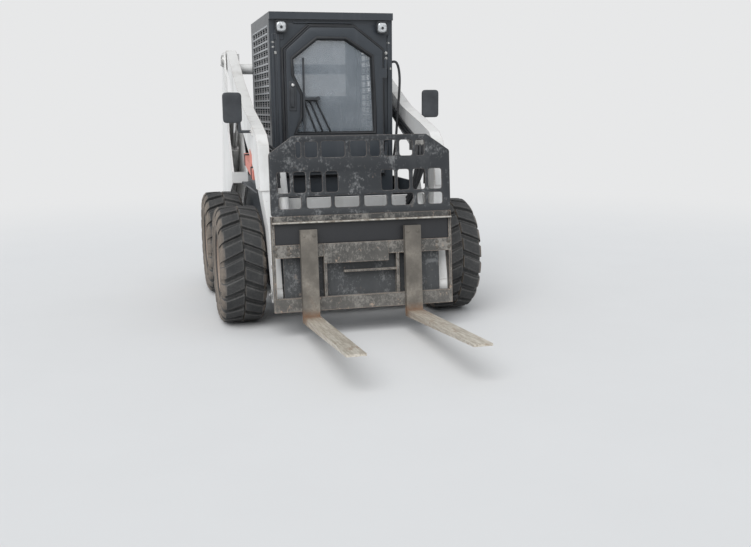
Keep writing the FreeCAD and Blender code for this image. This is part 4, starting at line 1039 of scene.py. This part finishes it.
# %% Strut clips
STRUT_SLOPE = 0.189
CLIP_HALF_LONG, CLIP_HALF_TALL = 0.018, 0.038
low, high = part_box("arm_support")
mesh = bmesh.new()
for along in (0.06, 0.39):
    middle = (low.y + 0.012 + along, low.z + 0.031 + along * STRUT_SLOPE)
    block(mesh, (low.x - 0.003, middle[0] - CLIP_HALF_LONG, middle[1] - CLIP_HALF_TALL),
          (low.x + 0.043, middle[0] + CLIP_HALF_LONG, middle[1] + CLIP_HALF_TALL))
finished("strut_clips", mesh, RUBBER, "lift_arm", 0.003)

# %% [markdown]
# The tailgate lets the engine's air out through louvres, and has a recessed latch. Its skin is a cut
# plate in front of a plain core, and a tilted slat stands in each slot. It takes the solid's place.

# %% Tailgate with louvres
gate_low, gate_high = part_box("tailgate")
GATE_HALF, SKIN = 0.440, 0.012
LOUVRES, LOUVRE_LOW, LOUVRE_STEP, LOUVRE_GAP, LOUVRE_HALF = 9, 0.72, 0.05, 0.025, 0.26
SLAT_TILT = math.radians(40)
HINGE_ACROSS = 0.455
mesh = bmesh.new()
slots = []
for index in range(LOUVRES):
    slot_low = LOUVRE_LOW + LOUVRE_STEP * index
    slots.append(rounded(rectangle(-LOUVRE_HALF, LOUVRE_HALF, slot_low, slot_low + LOUVRE_GAP), 0.010))
slots.append(rounded(rectangle(-0.385, -0.315, 0.88, 1.03), 0.012))
cut_plate(mesh, rounded(rectangle(-GATE_HALF, GATE_HALF, gate_low.z, gate_high.z), 0.02), slots, -gate_high.y,
          -gate_high.y + SKIN, soft=0.003)
block(mesh, (-GATE_HALF + 0.004, gate_low.y, gate_low.z + 0.004),
      (GATE_HALF - 0.004, gate_high.y - 0.022, gate_high.z - 0.004))
for index in range(LOUVRES):
    slat_at = (0, gate_high.y - SKIN, LOUVRE_LOW + 0.013 + LOUVRE_STEP * index)
    tilted = Matrix.Translation(slat_at) @ Matrix.Rotation(SLAT_TILT, 4, "X")
    block(mesh, (-0.262, -0.011, -0.0015), (0.262, 0.011, 0.0015), tilted)
for across, low_edge, high_edge in ((-0.432, 0.43, 1.275), (0.424, 0.43, 1.275)):
    block(mesh, (across, gate_high.y - 0.030, low_edge), (across + 0.008, gate_high.y - 0.006, high_edge))
for across, up in ((-0.35, 0.93), (-0.35, 0.98)):
    bar(mesh, (across, gate_high.y - 0.023, up), (across, gate_high.y - 0.006, up), 0.014, 20)
for low_edge in (gate_low.z + 0.090, gate_high.z - 0.260):
    knuckle = (HINGE_ACROSS, gate_high.y - 0.010)
    bar(mesh, (*knuckle, low_edge), (*knuckle, low_edge + 0.060), 0.010, 24)
    block(mesh, (0.400, gate_high.y - 0.006, low_edge), (0.452, gate_high.y, low_edge + 0.060))
finished("louvred_tailgate", mesh, DARK, "tailgate", replaces=("tailgate",))

# %% [markdown]
# The cover over the engine has a filler cap and two rows of screws. The cap is two short bars, the
# upper one narrower, so that its rim reads as a step.

# %% Cover fittings
cover_low, cover_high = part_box("rear_cover")
CAP = (-0.25, cover_high.y - 0.35)
mesh = bmesh.new()
bar(mesh, (*CAP, cover_high.z - 0.001), (*CAP, cover_high.z + 0.028), 0.050, 28)
bar(mesh, (*CAP, cover_high.z + 0.028), (*CAP, cover_high.z + 0.034), 0.042, 28)
for across in (-0.40, -0.2, 0.0, 0.2, 0.40):
    for along in (0.03, cover_high.y - cover_low.y - 0.03):
        bolt(mesh, (across, cover_low.y + along, cover_high.z - 0.001), (0, 0, 1), 0.007, 0.007)
finished("cover_fittings", mesh, PLASTIC, "chassis", 0.001)

# %% [markdown]
# The studio is a pale floor without a back wall. A curved backdrop could hide the horizon, but a floor
# that fades far away to the surround's own colour hides it from any side.

# %% Floor
PALE = (0.80, 0.805, 0.81)
FADE_STARTS, FADE_ENDS = 3.2, 9.0
bpy.ops.mesh.primitive_plane_add(size=80, location=(0, 0, 0))
ground = bpy.context.object
ground.name = "floor"
made, wire, shader = fresh("floor")
finish_with(wire, shader, noise(wire, 1.5, 4.0).tint((0.665, 0.665, 0.665), (0.695, 0.695, 0.695)), 0.95)
shader.inputs["Specular IOR Level"].default_value = 0.1
away = wire.node("VectorMath", "Value", {0: place(wire)}, operation="LENGTH")
haze = wire.node("Emission", 0, {"Color": PALE, "Strength": 1.0})
lit = Wire(wire.tree, shader.outputs[0])
mixed = wire.node("MixShader", 0, {0: away.step(FADE_STARTS, FADE_ENDS), 1: lit, 2: haze})
made.node_tree.links.new(mixed.socket, made.node_tree.nodes["Material Output"].inputs["Surface"])
ground.data.materials.append(made)
print("floor laid")

# %% [markdown]
# The light is that of an overcast day: the surround lights everything, and one wide sun gives a soft
# shadow. The camera sees the surround as a pale wall, and the pieces are lit by a dimmer, cooler one.

# %% Light
SUN_STRENGTH, SUN_WIDTH = 2.1, math.radians(50)
SUN_HEIGHT, SUN_TURN = math.radians(42), math.radians(-32)
sun = bpy.data.lights.new("soft_sun", "SUN")
sun.energy, sun.angle = SUN_STRENGTH, SUN_WIDTH
sun_holder = bpy.data.objects.new("soft_sun", sun)
sun_holder.rotation_euler = (SUN_HEIGHT, 0, SUN_TURN)
bpy.context.scene.collection.objects.link(sun_holder)

SURROUND = 0.62
world = bpy.data.worlds.new("surround")
world.use_nodes = True
bpy.context.scene.world = world
sky = Wire(world.node_tree, None)
seen = sky.node("LightPath", "Is Camera Ray").most(sky.node("LightPath", "Is Glossy Ray"))
seen = seen.most(sky.node("LightPath", "Is Transmission Ray"))
background = world.node_tree.nodes["Background"]
sky.feed(background.inputs["Color"], seen.tint((0.92, 0.96, 1.0), PALE))
sky.feed(background.inputs["Strength"], SURROUND + seen * (1 - SURROUND))
bpy.context.scene.view_settings.view_transform = "Standard"
print("studio ready")
